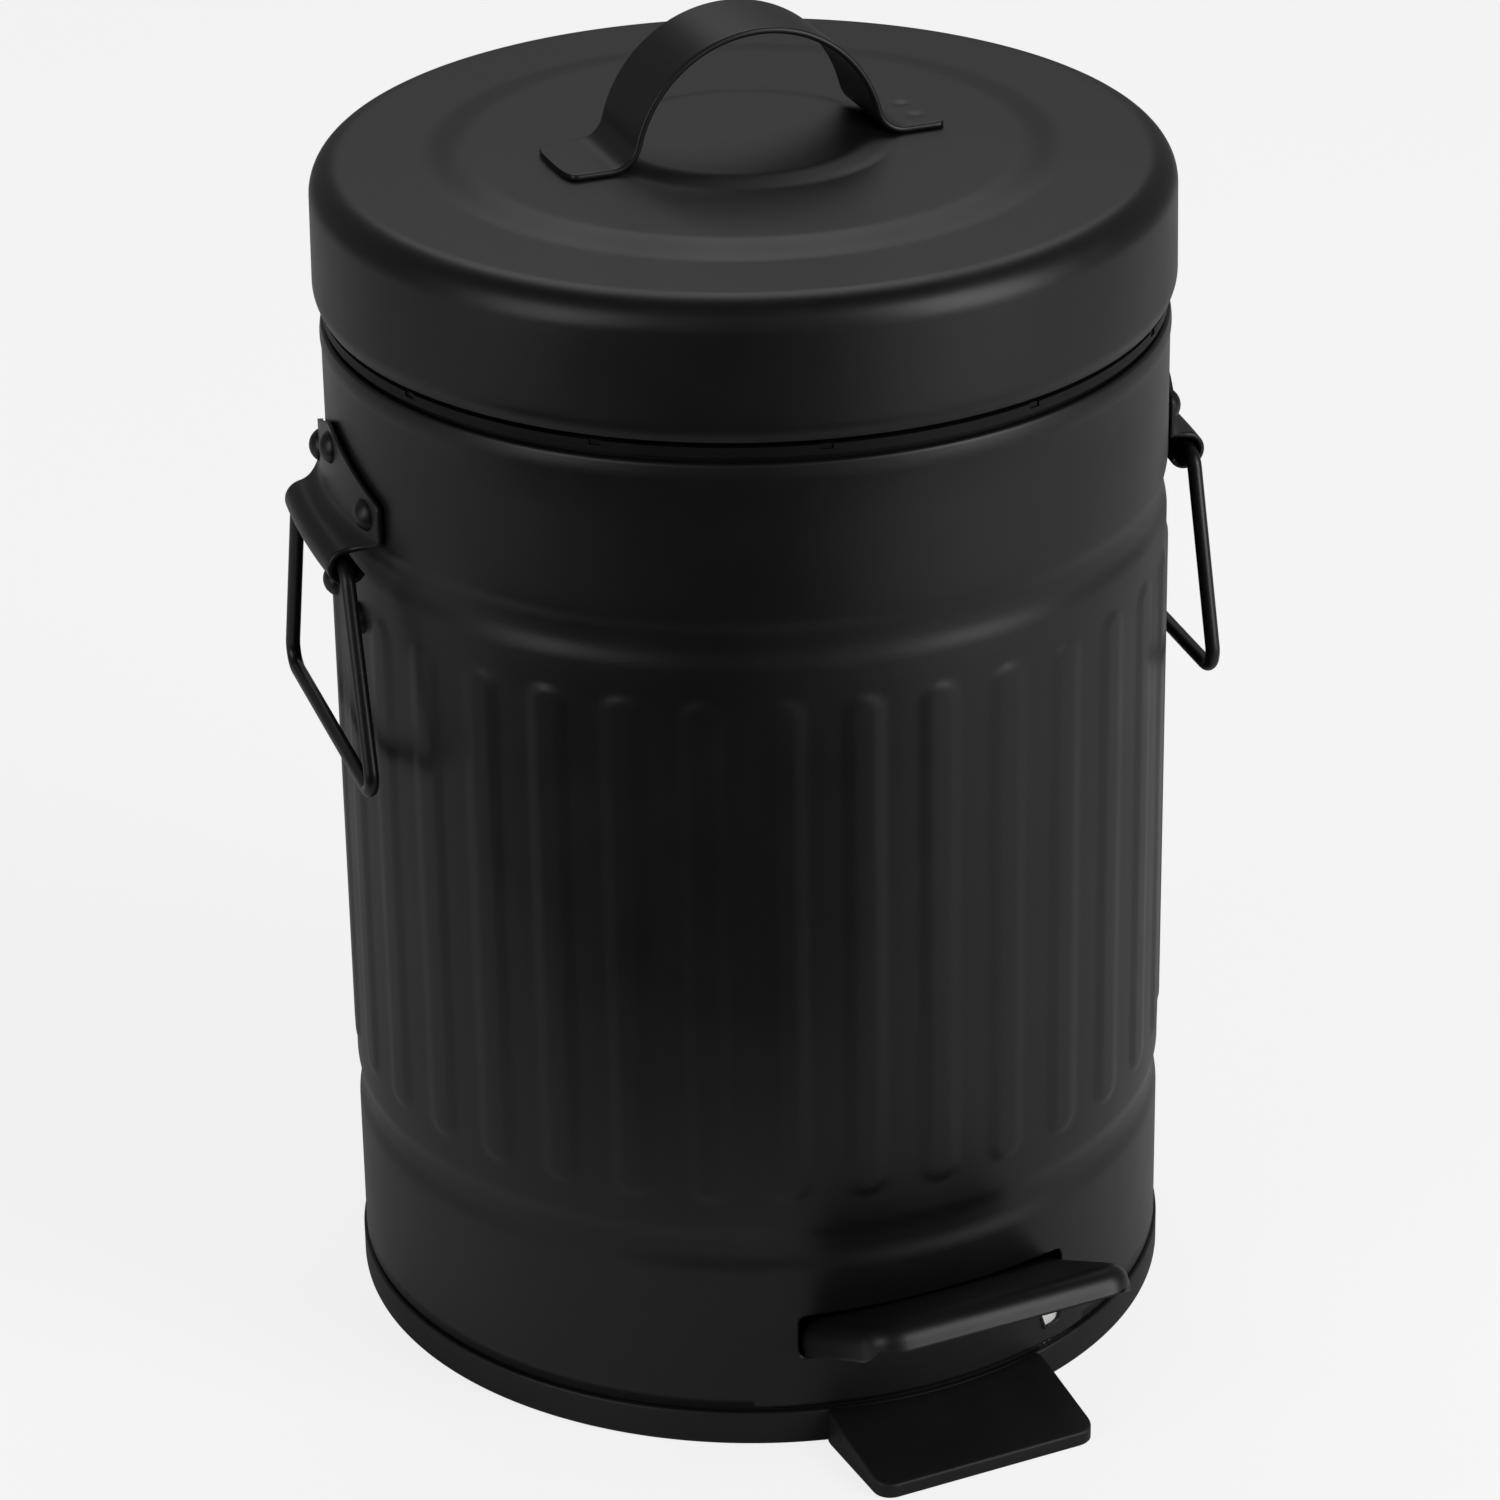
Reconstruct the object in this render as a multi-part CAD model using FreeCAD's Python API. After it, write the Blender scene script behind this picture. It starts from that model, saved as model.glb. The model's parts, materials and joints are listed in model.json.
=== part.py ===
import FreeCAD, Part
import math
import os

os.makedirs("parts", exist_ok=True)
Vec = FreeCAD.Vector
AXIS_X = Vec(1, 0, 0)
AXIS_Y = Vec(0, 1, 0)
AXIS_Z = Vec(0, 0, 1)

# Fits and clearances
press_gap = 0.02
seat_gap = 0.1
running_gap = 0.05
moving_gap = 0.5

# Drum: fluted steel tube
drum_radius = 85.0
drum_wall = 0.8
drum_lift = 1.0
drum_top = 215.8
hem_height = 5.0
hem_swell = 0.25
hem_wall = 1.6
groove_depth = 0.5
groove_half_height = 5.8
lower_groove_z = 45.4
upper_groove_drop = 37.3
flute_count = 34
flute_width = 9.0
flute_height = 0.45
flute_bottom = 57.3
flute_top_drop = 48.3
seam_width = 6.0
seam_height = 0.4
slot_half_width = 30.6
slot_bottom = 12.5
slot_band_bottom = 23.6
slot_top = 31.2
slot_leg_width = 5.0
slot_corner = 2.0

# Base with its foot
base_overhang = 0.6
base_height = 7.6
base_wall = 6.0
floor_thickness = 3.5
spigot_wall = 2.0
spigot_top = 16.0
base_edge = 1.0
foot_width = 49.0
foot_length = 21.4
foot_front_height = 3.2
foot_corner = 4.0

# Rim collar on the drum
collar_inset = 0.5
collar_lift = 1.2
collar_height = 2.0
collar_width = 6.3
collar_spigot_wall = 1.4
collar_spigot_depth = 9.0
notch_count = 12
notch_width = 2.4
notch_depth = 0.4

# Lid
lid_overhang = 1.25
lid_wall = 0.8
lid_gap = 1.2
lid_hem_height = 4.0
lid_hem_inset = 1.3
lid_curl_inset = 0.377
lid_taper = 0.25
lid_height = 27.9
lid_edge_radius = 5.0
outer_step_inset = 27.0
inner_step_radius = 27.0
step_run = 4.0
step_rise = 1.6

# Strap on the lid
strap_width = 20.0
strap_thickness = 1.3
strap_length = 80.5
strap_arch_radius = 26.0
strap_arch_height = 24.5
strap_bend_radius = 6.0
strap_end_radius = 40.0
strap_clocking = -4.0

# Lid hinge behind the drum
hinge_offset = 5.2
hinge_rise = 2.2
pin_radius = 1.5
pin_length = 34.0
knuckle_radius = 2.9
leaf_half_width = 6.6
leaf_thickness = 1.2
leaf_height = 23.0
arm_thickness = 1.4
bracket_half_width = 16.0
bracket_drop = 28.8
bracket_thickness = 1.2
hinge_rivet_radius = 1.5
hinge_rivet_head = 3.0
hinge_rivet_head_height = 1.4
bracket_rivet_x = 9.0
bracket_rivet_drops = (23.8, 12.8)
leaf_rivet_rises = (10.0, 18.0)
lid_open_angle = 75.0
lug_reach = 10.7
lug_half_width = 3.0
lug_nose_radius = 1.5

# Push rod
rod_inset = 4.4
rod_radius = 1.5
rod_cap_radius = 2.4
rod_cap_height = 3.0
lower_guide_z = 60.0
upper_guide_drop = 65.8
guide_height = 8.0
guide_half_width = 5.0
guide_depth = 2.4

# Pedal and lever
axle_inset = 27.0
axle_z = 15.0
axle_radius = 2.0
post_thickness = 4.0
post_depth = 10.0
hub_radius = 4.5
lever_half_width = 7.0
lever_thickness = 2.5
lever_nose_radius = 2.0
lever_nose_z = 9.0
tread_half_width = 28.4
tread_thickness = 1.2
tread_slope = 26.6
tread_top_z = 30.6
tread_reach = 29.1
tread_corner = 7.0
tread_tail = 24.0
tongue_half_width = 10.0
tongue_start = 8.0
lip_height = 7.5
bend_radius = 3.0
pedal_rivet_radius = 2.0
pedal_rivet_head = 3.6
pedal_rivet_head_height = 1.4
pedal_rivet_pitch = 9.0

# Nylon pad behind the slot's lower right corner
slot_guide_thickness = 2.0
slot_guide_margin = 4.0
slot_guide_inset = 5.0
slot_guide_rise = 3.1

# Side brackets and bails
plate_thickness = 1.0
plate_half_width = 24.8
plate_rise = 23.0
ear_top_rise = 14.2
ear_bottom_rise = 4.6
bracket_clocking = -8.0
barrel_drop = 37.8
barrel_offset = 3.35
barrel_radius = 3.9
barrel_half_length = 19.5
barrel_mouth_radius = 3.3
barrel_mouth_depth = 3.0
barrel_fillet = 4.0
bail_wire_radius = 1.5
bail_clearance = 0.3
bail_top_half = 20.6
bail_bottom_half = 35.0
bail_drop = 43.0
bail_bend_radius = 4.0
side_rivet_radius = 1.6
side_rivet_head = 3.3
side_rivet_head_height = 2.0
top_rivet_rise = 18.0
ear_rivet_rise = 10.8
ear_rivet_offset = 18.6
low_rivet_drop = 15.0
low_rivet_offset = 10.0

# Inner bucket
bucket_inset = 8.2
bucket_taper = 4.3
bucket_bottom = 34.0
bucket_wall = 1.5
bucket_floor = 2.0
bucket_flange_inset = 5.0
bucket_flange_thickness = 1.0
bucket_rod_gap = 3.3
bucket_bail_wire = 1.25
bucket_bail_drop = 7.0
bucket_bail_gap = 5.0
bucket_pin_proud = 0.1

# Derived places
drum_inner = drum_radius - drum_wall
drum_bottom = base_height + drum_lift
upper_groove_z = drum_top - upper_groove_drop
flute_top = drum_top - flute_top_drop
drill_length = 2 * drum_radius
base_radius = drum_radius + base_overhang
foot_reach = base_radius + foot_length
collar_radius = drum_radius - collar_inset
collar_inner_radius = collar_radius - collar_width
collar_bottom = drum_top + collar_lift
collar_top = collar_bottom + collar_height
lid_bottom = collar_top + lid_gap
lid_top = lid_bottom + lid_height
lid_radius = drum_radius + lid_overhang
outer_step_radius = lid_radius - outer_step_inset
hinge_y = drum_radius + hinge_offset
hinge_z = drum_top + hinge_rise
leaf_top = hinge_z + leaf_height
bracket_bottom = drum_top - bracket_drop
rod_y = drum_radius - rod_inset
guide_heights = (lower_guide_z, drum_top - upper_guide_drop)
guide_inner_y = rod_y - guide_depth
axle_y = axle_inset - drum_radius
collar_rear_half_width = leaf_half_width + moving_gap
lug_angle = math.radians(lid_open_angle / 2)
lug_y = hinge_y - lug_reach * math.cos(lug_angle)
lug_z = hinge_z - lug_reach * math.sin(lug_angle)
rod_top = lug_z - lug_nose_radius - moving_gap
rod_bottom = lever_nose_z + lever_nose_radius + moving_gap
barrel_z = drum_top - barrel_drop
plate_top = barrel_z + plate_rise
ear_top = barrel_z + ear_top_rise
ear_bottom = barrel_z + ear_bottom_rise
top_rivet_z = barrel_z + top_rivet_rise
ear_rivet_z = barrel_z + ear_rivet_rise
low_rivet_z = barrel_z - low_rivet_drop
plate_inner = drum_radius + flute_height + seat_gap
plate_outer = plate_inner + plate_thickness
bail_radius = plate_outer + barrel_offset - plate_thickness
bail_bore = bail_wire_radius + bail_clearance
bucket_top_radius = drum_radius - bucket_inset
bucket_bottom_radius = bucket_top_radius - bucket_taper
bucket_flange_radius = drum_radius - bucket_flange_inset
bucket_rear_flat = rod_y - bucket_rod_gap
pail_seat = collar_top - bucket_flange_thickness
bucket_bail_z = collar_top - bucket_bail_drop


def profile(start, *steps):
    """Closed face in the XZ plane: each step is an end point, or a middle and an end point of an arc."""
    edges = []
    at = start
    for step in steps + (start,):
        if isinstance(step[0], tuple):
            middle, end = step
            points = [Vec(p[0], 0, p[1]) for p in (at, middle, end)]
            edges.append(Part.Arc(*points).toShape())
            at = end
        elif math.dist(at, step) > 1e-6:
            edges.append(Part.makeLine(Vec(at[0], 0, at[1]), Vec(step[0], 0, step[1])))
            at = step
    return Part.Face(Part.Wire(edges))


def arc_point(centre, radius, angle):
    """Point on a circle at an angle in degrees."""
    turn = math.radians(angle)
    return (centre[0] + radius * math.cos(turn), centre[1] + radius * math.sin(turn))


def edges_along(shape, axis, parallel=0.9):
    """Edges of a shape that start out along an axis."""
    return [e for e in shape.Edges if abs(e.tangentAt(e.FirstParameter).dot(axis)) > parallel]


def spin(face):
    """Solid of revolution about the drum's axis."""
    return face.revolve(Vec(0, 0, 0), AXIS_Z, 360)


def wide(face, half_width):
    """Solid with the face as its section in the YZ plane, reaching half_width to both sides."""
    turned = face.copy()
    turned.rotate(Vec(0, 0, 0), AXIS_Z, 90)
    turned.translate(Vec(-half_width, 0, 0))
    return turned.extrude(Vec(2 * half_width, 0, 0))


def box(x0, x1, y0, y1, z0, z1):
    return Part.makeBox(x1 - x0, y1 - y0, z1 - z0, Vec(x0, y0, z0))


def tube(inner, outer, z0, z1):
    """Upright ring about the drum's axis."""
    ring = Part.makeCylinder(outer, z1 - z0, Vec(0, 0, z0))
    return ring.cut(Part.makeCylinder(inner, z1 - z0, Vec(0, 0, z0)))


def round_bar(y, z, radius, half_length):
    """Cylinder along X."""
    return Part.makeCylinder(radius, 2 * half_length, Vec(-half_length, y, z), AXIS_X)


def strip(start, end, thickness, half_width):
    """Flat bar between two points of the YZ plane, with round ends."""
    dy = end[0] - start[0]
    dz = end[1] - start[1]
    length = math.hypot(dy, dz)
    bar = box(-half_width, half_width, 0, length, -thickness / 2, thickness / 2)
    bar.rotate(Vec(0, 0, 0), AXIS_X, math.degrees(math.atan2(dz, dy)))
    bar.translate(Vec(0, start[0], start[1]))
    ends = [round_bar(p[0], p[1], thickness / 2, half_width) for p in (start, end)]
    return bar.fuse(ends).removeSplitter()


def dome_rivet(base, direction, shank_radius, head_radius, head_height, shank_length):
    """Rivet with its dome outside the base point and its shank running inwards."""
    ball = (head_radius ** 2 + head_height ** 2) / (2 * head_height)
    centre = base + direction * (head_height - ball)
    head = Part.makeSphere(ball, centre)
    head = head.common(Part.makeCylinder(head_radius, 2 * head_height, base, direction))
    shank = Part.makeCylinder(shank_radius, shank_length, base - direction * shank_length, direction)
    return head.fuse(shank).removeSplitter()


def side_direction(azimuth):
    """Outward direction, with 0 at the front and 90 at the right."""
    angle = math.radians(azimuth)
    return Vec(math.sin(angle), -math.cos(angle), 0)


def to_side(shape, azimuth):
    """Turns a shape made at the front to another azimuth."""
    turned = shape.copy()
    turned.rotate(Vec(0, 0, 0), AXIS_Z, azimuth)
    return turned


def save(name, shape):
    shape.exportStep("parts/%s.step" % name)


def drum_outline(inset):
    """Points up the drum's wall, drawn in by the inset, with the two rolled grooves."""
    radius = drum_radius - inset
    points = [(radius, drum_bottom)]
    for middle in (lower_groove_z, upper_groove_z):
        points.append((radius, middle - groove_half_height))
        points.append((radius - groove_depth, middle))
        points.append((radius, middle + groove_half_height))
    points.append((radius, drum_top - hem_height))
    return points


def flute():
    """Raised flute: an upright bar with ball ends, sunk until its chord is the flute's width."""
    half = flute_width / 2
    ball = (half ** 2 + flute_height ** 2) / (2 * flute_height)
    centre = -(drum_radius + flute_height - ball)
    low = flute_bottom + half
    high = flute_top - half
    bar = Part.makeCylinder(ball, high - low, Vec(0, centre, low))
    bar = bar.fuse([Part.makeSphere(ball, Vec(0, centre, z)) for z in (low, high)])
    side = half + drum_wall
    outer = drum_radius + 2 * flute_height
    sliver = box(-side, side, -outer, drum_wall / 2 - drum_radius, flute_bottom, flute_top)
    return bar.common(sliver).removeSplitter()


def slot_prism(left, right, bottom):
    """Rounded rectangle in the XZ plane up to the slot's top, running out through the front wall."""
    block = box(left, right, -drum_radius * 2, -drum_radius / 2, bottom, slot_top)
    return block.makeFillet(slot_corner, edges_along(block, AXIS_Y))


def pedal_slot():
    """A band for the pedal's plate with a leg at each end for its side flanges."""
    side = slot_half_width
    inner = side - slot_leg_width
    legs = [slot_prism(-side, -inner, slot_bottom), slot_prism(inner, side, slot_bottom)]
    return slot_prism(-side, side, slot_band_bottom).fuse(legs)


def body_shell():
    outside = drum_outline(0)
    inside = drum_outline(drum_wall)
    hem_inner = drum_radius - hem_wall
    crown_radius = hem_wall / 2
    crown_z = drum_top - crown_radius
    crown_centre = (drum_radius - crown_radius, crown_z)
    swell = ((drum_radius + hem_swell, drum_top - hem_height / 2), (drum_radius, crown_z))
    crown = (arc_point(crown_centre, crown_radius, 45), (crown_centre[0], drum_top))
    inner_crown = (arc_point(crown_centre, crown_radius, 135), (hem_inner, crown_z))
    hem_foot = (hem_inner, drum_top - hem_height)
    steps = outside[1:] + [swell, crown, inner_crown, hem_foot] + inside[::-1]
    shell = spin(profile(outside[0], *steps))
    spacing = 360.0 / flute_count
    rear = flute_count // 2
    flutes = [to_side(flute(), n * spacing) for n in range(flute_count) if n != rear]
    seam_inner = drum_radius - drum_wall / 2
    seam = tube(seam_inner, drum_radius + seam_height, lower_groove_z + groove_half_height, flute_top)
    half_seam = seam_width / 2
    seam = seam.common(box(-half_seam, half_seam, 0, drum_radius * 2, 0, drum_top))
    shell = shell.fuse(flutes + [seam]).removeSplitter()
    holes = [pedal_slot()]
    for side in (-90, 90):
        holes += side_rivet_holes(side)
    holes += [Part.makeCylinder(hinge_rivet_radius + press_gap, drill_length, Vec(x, 0, z), AXIS_Y)
              for x, z in bracket_rivet_places()]
    return shell.cut(holes)


def side_rivet_places(side):
    """Azimuth, seat radius and height of the three rivets on a side bracket and the two below it."""
    ear = math.degrees(ear_rivet_offset / drum_radius)
    low = math.degrees(low_rivet_offset / drum_radius)
    middle = side + bracket_clocking
    places = [(a, plate_outer, z) for a, z in ((0, top_rivet_z), (-ear, ear_rivet_z), (ear, ear_rivet_z))]
    places += [(a, plate_inner, low_rivet_z) for a in (-low, low)]
    return [(middle + a, seat, z) for a, seat, z in places]


def side_rivet_holes(side):
    """Holes for a side bracket's rivets, drilled from the axis outwards."""
    radius = side_rivet_radius + press_gap
    return [Part.makeCylinder(radius, drill_length, Vec(0, 0, z), side_direction(a))
            for a, seat, z in side_rivet_places(side)]


def bracket_rivet_places():
    """Places of the hinge bracket's rivets on the back of the drum."""
    return [(x, z) for x in (-bracket_rivet_x, bracket_rivet_x)
            for z in (drum_top - drop for drop in bracket_rivet_drops)]


def leaf_rivet_places():
    """Places of the leaf's rivets on the back of the lid."""
    return [(0, hinge_z + rise) for rise in leaf_rivet_rises]


def base_ring():
    spigot_outer = drum_inner - seat_gap
    spigot_inner = spigot_outer - spigot_wall
    edge = base_edge
    ring = spin(profile(
        (0, 0), (base_radius - edge, 0),
        (arc_point((base_radius - edge, edge), edge, -45), (base_radius, edge)), (base_radius, base_height),
        (spigot_outer, base_height), (spigot_outer, spigot_top), (spigot_inner, spigot_top),
        (spigot_inner, floor_thickness), (0, floor_thickness)))
    side = slot_half_width + slot_guide_margin + moving_gap
    window = box(-side, side, -drum_radius, 0, base_height, spigot_top)
    side = lever_half_width + moving_gap
    pocket = box(-side, side, 0, rod_y + rod_cap_radius + moving_gap, floor_thickness, spigot_top)
    ring = ring.cut([window, pocket])
    middle = base_radius - base_wall / 2
    wedge = wide(profile((-middle, 0), (-foot_reach, 0), (-foot_reach, foot_front_height),
                         (-base_radius, base_height), (-middle, base_height)), foot_width / 2)
    plan = box(-foot_width / 2, foot_width / 2, -foot_reach, 0, 0, base_height)
    corners = [e for e in edges_along(plan, AXIS_Z) if e.CenterOfMass.y < -foot_reach / 2]
    wedge = wedge.common(plan.makeFillet(foot_corner, corners))
    half_depth = post_depth / 2
    near = lever_half_width + moving_gap
    post = box(near, near + post_thickness, axle_y - half_depth, axle_y + half_depth, 0,
               axle_z + hub_radius)
    posts = [post, post.mirror(Vec(0, 0, 0), AXIS_X)]
    bore = round_bar(axle_y, axle_z, axle_radius + press_gap, near + 2 * post_thickness)
    return ring.fuse([wedge] + posts).removeSplitter().cut(bore)


def rim_ring():
    """Ring over the drum's rim: a spigot inside the rolled edge and a ledge for the pail's flange."""
    spigot_outer = drum_radius - hem_wall - seat_gap
    spigot_inner = spigot_outer - collar_spigot_wall
    low = collar_bottom - collar_spigot_depth
    ledge_radius = bucket_flange_radius + moving_gap
    ring = spin(profile(
        (collar_inner_radius, collar_bottom), (spigot_inner, collar_bottom), (spigot_inner, low),
        (spigot_outer, low), (spigot_outer, collar_bottom), (collar_radius, collar_bottom),
        (collar_radius, collar_top), (ledge_radius, collar_top), (ledge_radius, pail_seat),
        (collar_inner_radius, pail_seat)))
    half = notch_width / 2
    notch = box(-half, half, -collar_radius - notch_depth, -collar_radius + notch_depth,
                collar_bottom + collar_height / 2, collar_top)
    cuts = [to_side(notch, (n + 0.5) * 360.0 / notch_count) for n in range(notch_count)]
    gap = collar_rear_half_width
    cuts.append(box(-gap, gap, 0, collar_radius * 2, low, collar_top))
    return ring.cut(cuts)


def step_up(radius, low):
    """S curve of two equal arcs that climbs one step towards the lid's middle."""
    run = step_run / 2
    rise = step_rise / 2
    bend = (run ** 2 + rise ** 2) / (2 * rise)
    half = math.asin(run / bend) / 2
    out = radius + run
    inn = radius - run
    high = low + step_rise
    first = (out - bend * math.sin(half), low + bend * (1 - math.cos(half)))
    last = (inn + bend * math.sin(half), high - bend * (1 - math.cos(half)))
    return [(out, low), (first, (radius, low + rise)), (last, (inn, high))]


def lid_outline(inset):
    """Points from the lid's lower edge up the skirt and over the steps to the middle."""
    hem = lid_radius - lid_hem_inset - inset
    skirt = lid_radius - inset
    shoulder = skirt - lid_taper
    top = lid_top - inset
    bend = lid_edge_radius - inset
    curl = (skirt - lid_curl_inset, lid_bottom + lid_hem_height / 2)
    edge = arc_point((shoulder - bend, top - bend), bend, 45)
    steps = [(curl, (skirt, lid_bottom + lid_hem_height)), (shoulder, top - bend)]
    steps.append((edge, (shoulder - bend, top)))
    steps += step_up(outer_step_radius, top)
    steps += step_up(inner_step_radius, top + step_rise)
    steps.append((0, top + 2 * step_rise))
    return (hem, lid_bottom), steps


def reverse_steps(start, steps):
    """The same outline walked backwards."""
    ends = [start] + [s[1] if isinstance(s[0], tuple) else s for s in steps]
    back = []
    for n in range(len(steps) - 1, -1, -1):
        if isinstance(steps[n][0], tuple):
            back.append((steps[n][0], ends[n]))
        else:
            back.append(ends[n])
    return ends[-1], back


def lid_shell():
    start, outside = lid_outline(0)
    middle, inside = reverse_steps(*lid_outline(lid_wall))
    shell = spin(profile(start, *outside, middle, *inside))
    gap = leaf_half_width + moving_gap
    cuts = [box(-gap, gap, 0, lid_radius * 2, lid_bottom, lid_bottom + lid_hem_height)]
    cuts += [Part.makeCylinder(hinge_rivet_radius + press_gap, drill_length, Vec(x, 0, z), AXIS_Y)
             for x, z in leaf_rivet_places()]
    return shell.cut(cuts)


def lid_handle():
    """Strap along X: two feet on the lid, a bend at each, and a round arch between them."""
    half = strap_thickness / 2
    foot_z = lid_top + step_rise + half
    arch_z = foot_z + strap_arch_height - strap_arch_radius
    bend_z = foot_z + strap_bend_radius
    reach = strap_arch_radius + strap_bend_radius
    bend_x = math.sqrt(reach ** 2 - (bend_z - arch_z) ** 2)
    lean = math.atan2(bend_z - arch_z, bend_x)
    turn = (math.pi / 2 + lean) / 2

    def side(offset):
        """Half of the strap, offset from its middle surface: arch end and middle of the bend."""
        arch = strap_arch_radius + offset
        bend = strap_bend_radius - offset
        touch = (arch * math.cos(lean), arch_z + arch * math.sin(lean))
        middle = (bend_x - bend * math.sin(turn), bend_z - bend * math.cos(turn))
        return touch, middle, (bend_x, foot_z + offset), (0, arch_z + arch)

    def flip(point):
        """The same point on the other half."""
        return (-point[0], point[1])

    end = strap_length / 2
    touch, middle, foot, crown = side(half)
    touch_in, middle_in, foot_in, crown_in = side(-half)
    section = profile(
        (-end, foot[1]), flip(foot), (flip(middle), flip(touch)), (crown, touch), (middle, foot),
        (end, foot[1]),
        (end, foot_in[1]), foot_in, (middle_in, touch_in), (crown_in, flip(touch_in)),
        (flip(middle_in), flip(foot_in)), (-end, foot_in[1]))
    width = strap_width / 2
    section.translate(Vec(0, -width, 0))
    strap = section.extrude(Vec(0, strap_width, 0))
    sag = strap_end_radius - math.sqrt(strap_end_radius ** 2 - width ** 2)
    plan = box(-end + sag, end - sag, -width, width, lid_top, lid_top * 2)
    rounds = [Part.makeCylinder(strap_end_radius, lid_top, Vec(s * (end - strap_end_radius), 0, lid_top))
              for s in (-1, 1)]
    return to_side(strap.common(plan.fuse(rounds)), strap_clocking)


def hinge_bracket():
    """Plate on the drum with two knuckles that hold the pin."""
    inner = drum_radius + seat_gap
    half = bracket_half_width
    plate = tube(inner, inner + bracket_thickness, bracket_bottom, drum_top - hem_height)
    plate = plate.common(box(-half, half, 0, drum_radius * 2, bracket_bottom, drum_top))
    start = leaf_half_width + moving_gap
    arm_foot = math.sqrt(inner ** 2 - half ** 2)
    arm = wide(profile((arm_foot, drum_top - 2 * hem_height), (hinge_y + knuckle_radius, hinge_z),
                       (hinge_y - knuckle_radius, hinge_z), (inner + hem_swell, drum_top - hem_height),
                       (arm_foot, drum_top - hem_height)), half)
    arm = arm.cut(Part.makeCylinder(inner + hem_swell / 2, drum_top))
    knuckles = arm.fuse(round_bar(hinge_y, hinge_z, knuckle_radius, half))
    knuckles = knuckles.cut(box(-start, start, 0, hinge_y * 2, 0, lid_top))
    holes = [round_bar(hinge_y, hinge_z, pin_radius + press_gap, half)]
    holes += [Part.makeCylinder(hinge_rivet_radius + press_gap, drill_length, Vec(x, 0, z), AXIS_Y)
              for x, z in bracket_rivet_places()]
    return plate.fuse(knuckles).removeSplitter().cut(holes)


def lid_hinge_leaf():
    """Leaf inside the lid's skirt, with the middle knuckle and the lug that the push rod lifts."""
    inner_y = leaf_inner_y()
    outer_y = inner_y + leaf_thickness
    leaf = wide(profile((inner_y, hinge_z), (outer_y, hinge_z), (outer_y, leaf_top), (inner_y, leaf_top)),
                leaf_half_width)
    half = arm_thickness / 2
    arm = wide(profile((lug_y - half, hinge_z - half), (hinge_y, hinge_z - half), (hinge_y, hinge_z + half),
                       (lug_y - half, hinge_z + half)), leaf_half_width)
    knuckle = round_bar(hinge_y, hinge_z, knuckle_radius, leaf_half_width)
    lug = strip((lug_y, hinge_z), (lug_y, lug_z), arm_thickness, lug_half_width)
    nose = round_bar(lug_y, lug_z, lug_nose_radius, lug_half_width)
    solid = leaf.fuse([arm, knuckle, lug, nose]).removeSplitter()
    holes = [round_bar(hinge_y, hinge_z, pin_radius + running_gap, leaf_half_width)]
    holes += [Part.makeCylinder(hinge_rivet_radius + press_gap, drill_length, Vec(x, 0, z), AXIS_Y)
              for x, z in leaf_rivet_places()]
    return solid.cut(holes)


def leaf_inner_y():
    """Inner face of the leaf, which lies flat across the curve of the skirt."""
    face_y = lid_radius - lid_taper - lid_wall - seat_gap
    return math.sqrt(face_y ** 2 - leaf_half_width ** 2) - leaf_thickness


def rivet_group(places, surface, shank):
    """Dome rivets along +Y on a curved face of the given radius."""
    rivets = []
    for x, z in places:
        near = max(abs(x) - hinge_rivet_head, 0)
        y = math.sqrt(surface ** 2 - near ** 2) + press_gap
        rivets.append(dome_rivet(Vec(x, y, z), AXIS_Y, hinge_rivet_radius, hinge_rivet_head,
                                 hinge_rivet_head_height, shank))
    return Part.makeCompound(rivets)


def push_rod():
    rod = Part.makeCylinder(rod_radius, rod_top - rod_bottom, Vec(0, rod_y, rod_bottom))
    foot = Part.makeCylinder(rod_cap_radius, rod_cap_height, Vec(0, rod_y, rod_bottom))
    return rod.fuse(foot).removeSplitter().cut(rod_cap())


def rod_cap():
    low = rod_top - rod_cap_height
    return Part.makeCylinder(rod_cap_radius, rod_cap_height, Vec(0, rod_y, low))


def rod_guides():
    blocks = []
    outer = math.sqrt((drum_inner - seat_gap) ** 2 - guide_half_width ** 2)
    for z in guide_heights:
        block = box(-guide_half_width, guide_half_width, guide_inner_y, outer, z, z + guide_height)
        bore = Part.makeCylinder(rod_radius + running_gap, guide_height, Vec(0, rod_y, z))
        blocks.append(block.cut(bore))
    return Part.makeCompound(blocks)


def on_tread(shape):
    """Tilts a piece made flat in front of the drum to the pedal's slope."""
    tilted = shape.copy()
    tilted.rotate(Vec(0, 0, 0), AXIS_X, -tread_slope)
    tilted.translate(Vec(0, -drum_radius, tread_top_z))
    return tilted


def pedal_rivet_spots():
    """Distances of the rivets along the pedal's tail."""
    first = tread_tail - tongue_start + bend_radius
    return (first - pedal_rivet_pitch, first)


def tread_block(inset, back, bottom):
    """Block with round front corners and round upper edges, drawn in by the inset."""
    half = tread_half_width - inset
    front = inset - tread_reach
    block = box(-half, half, front, back, bottom, -inset)
    corners = [e for e in edges_along(block, AXIS_Z) if e.CenterOfMass.y < 0]
    block = block.makeFillet(tread_corner - inset, corners)
    upper = [e for e in block.Edges if e.BoundBox.ZMin > -inset - press_gap and e.BoundBox.YMin < back - inset]
    return block.makeFillet(bend_radius - inset, upper)


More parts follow.
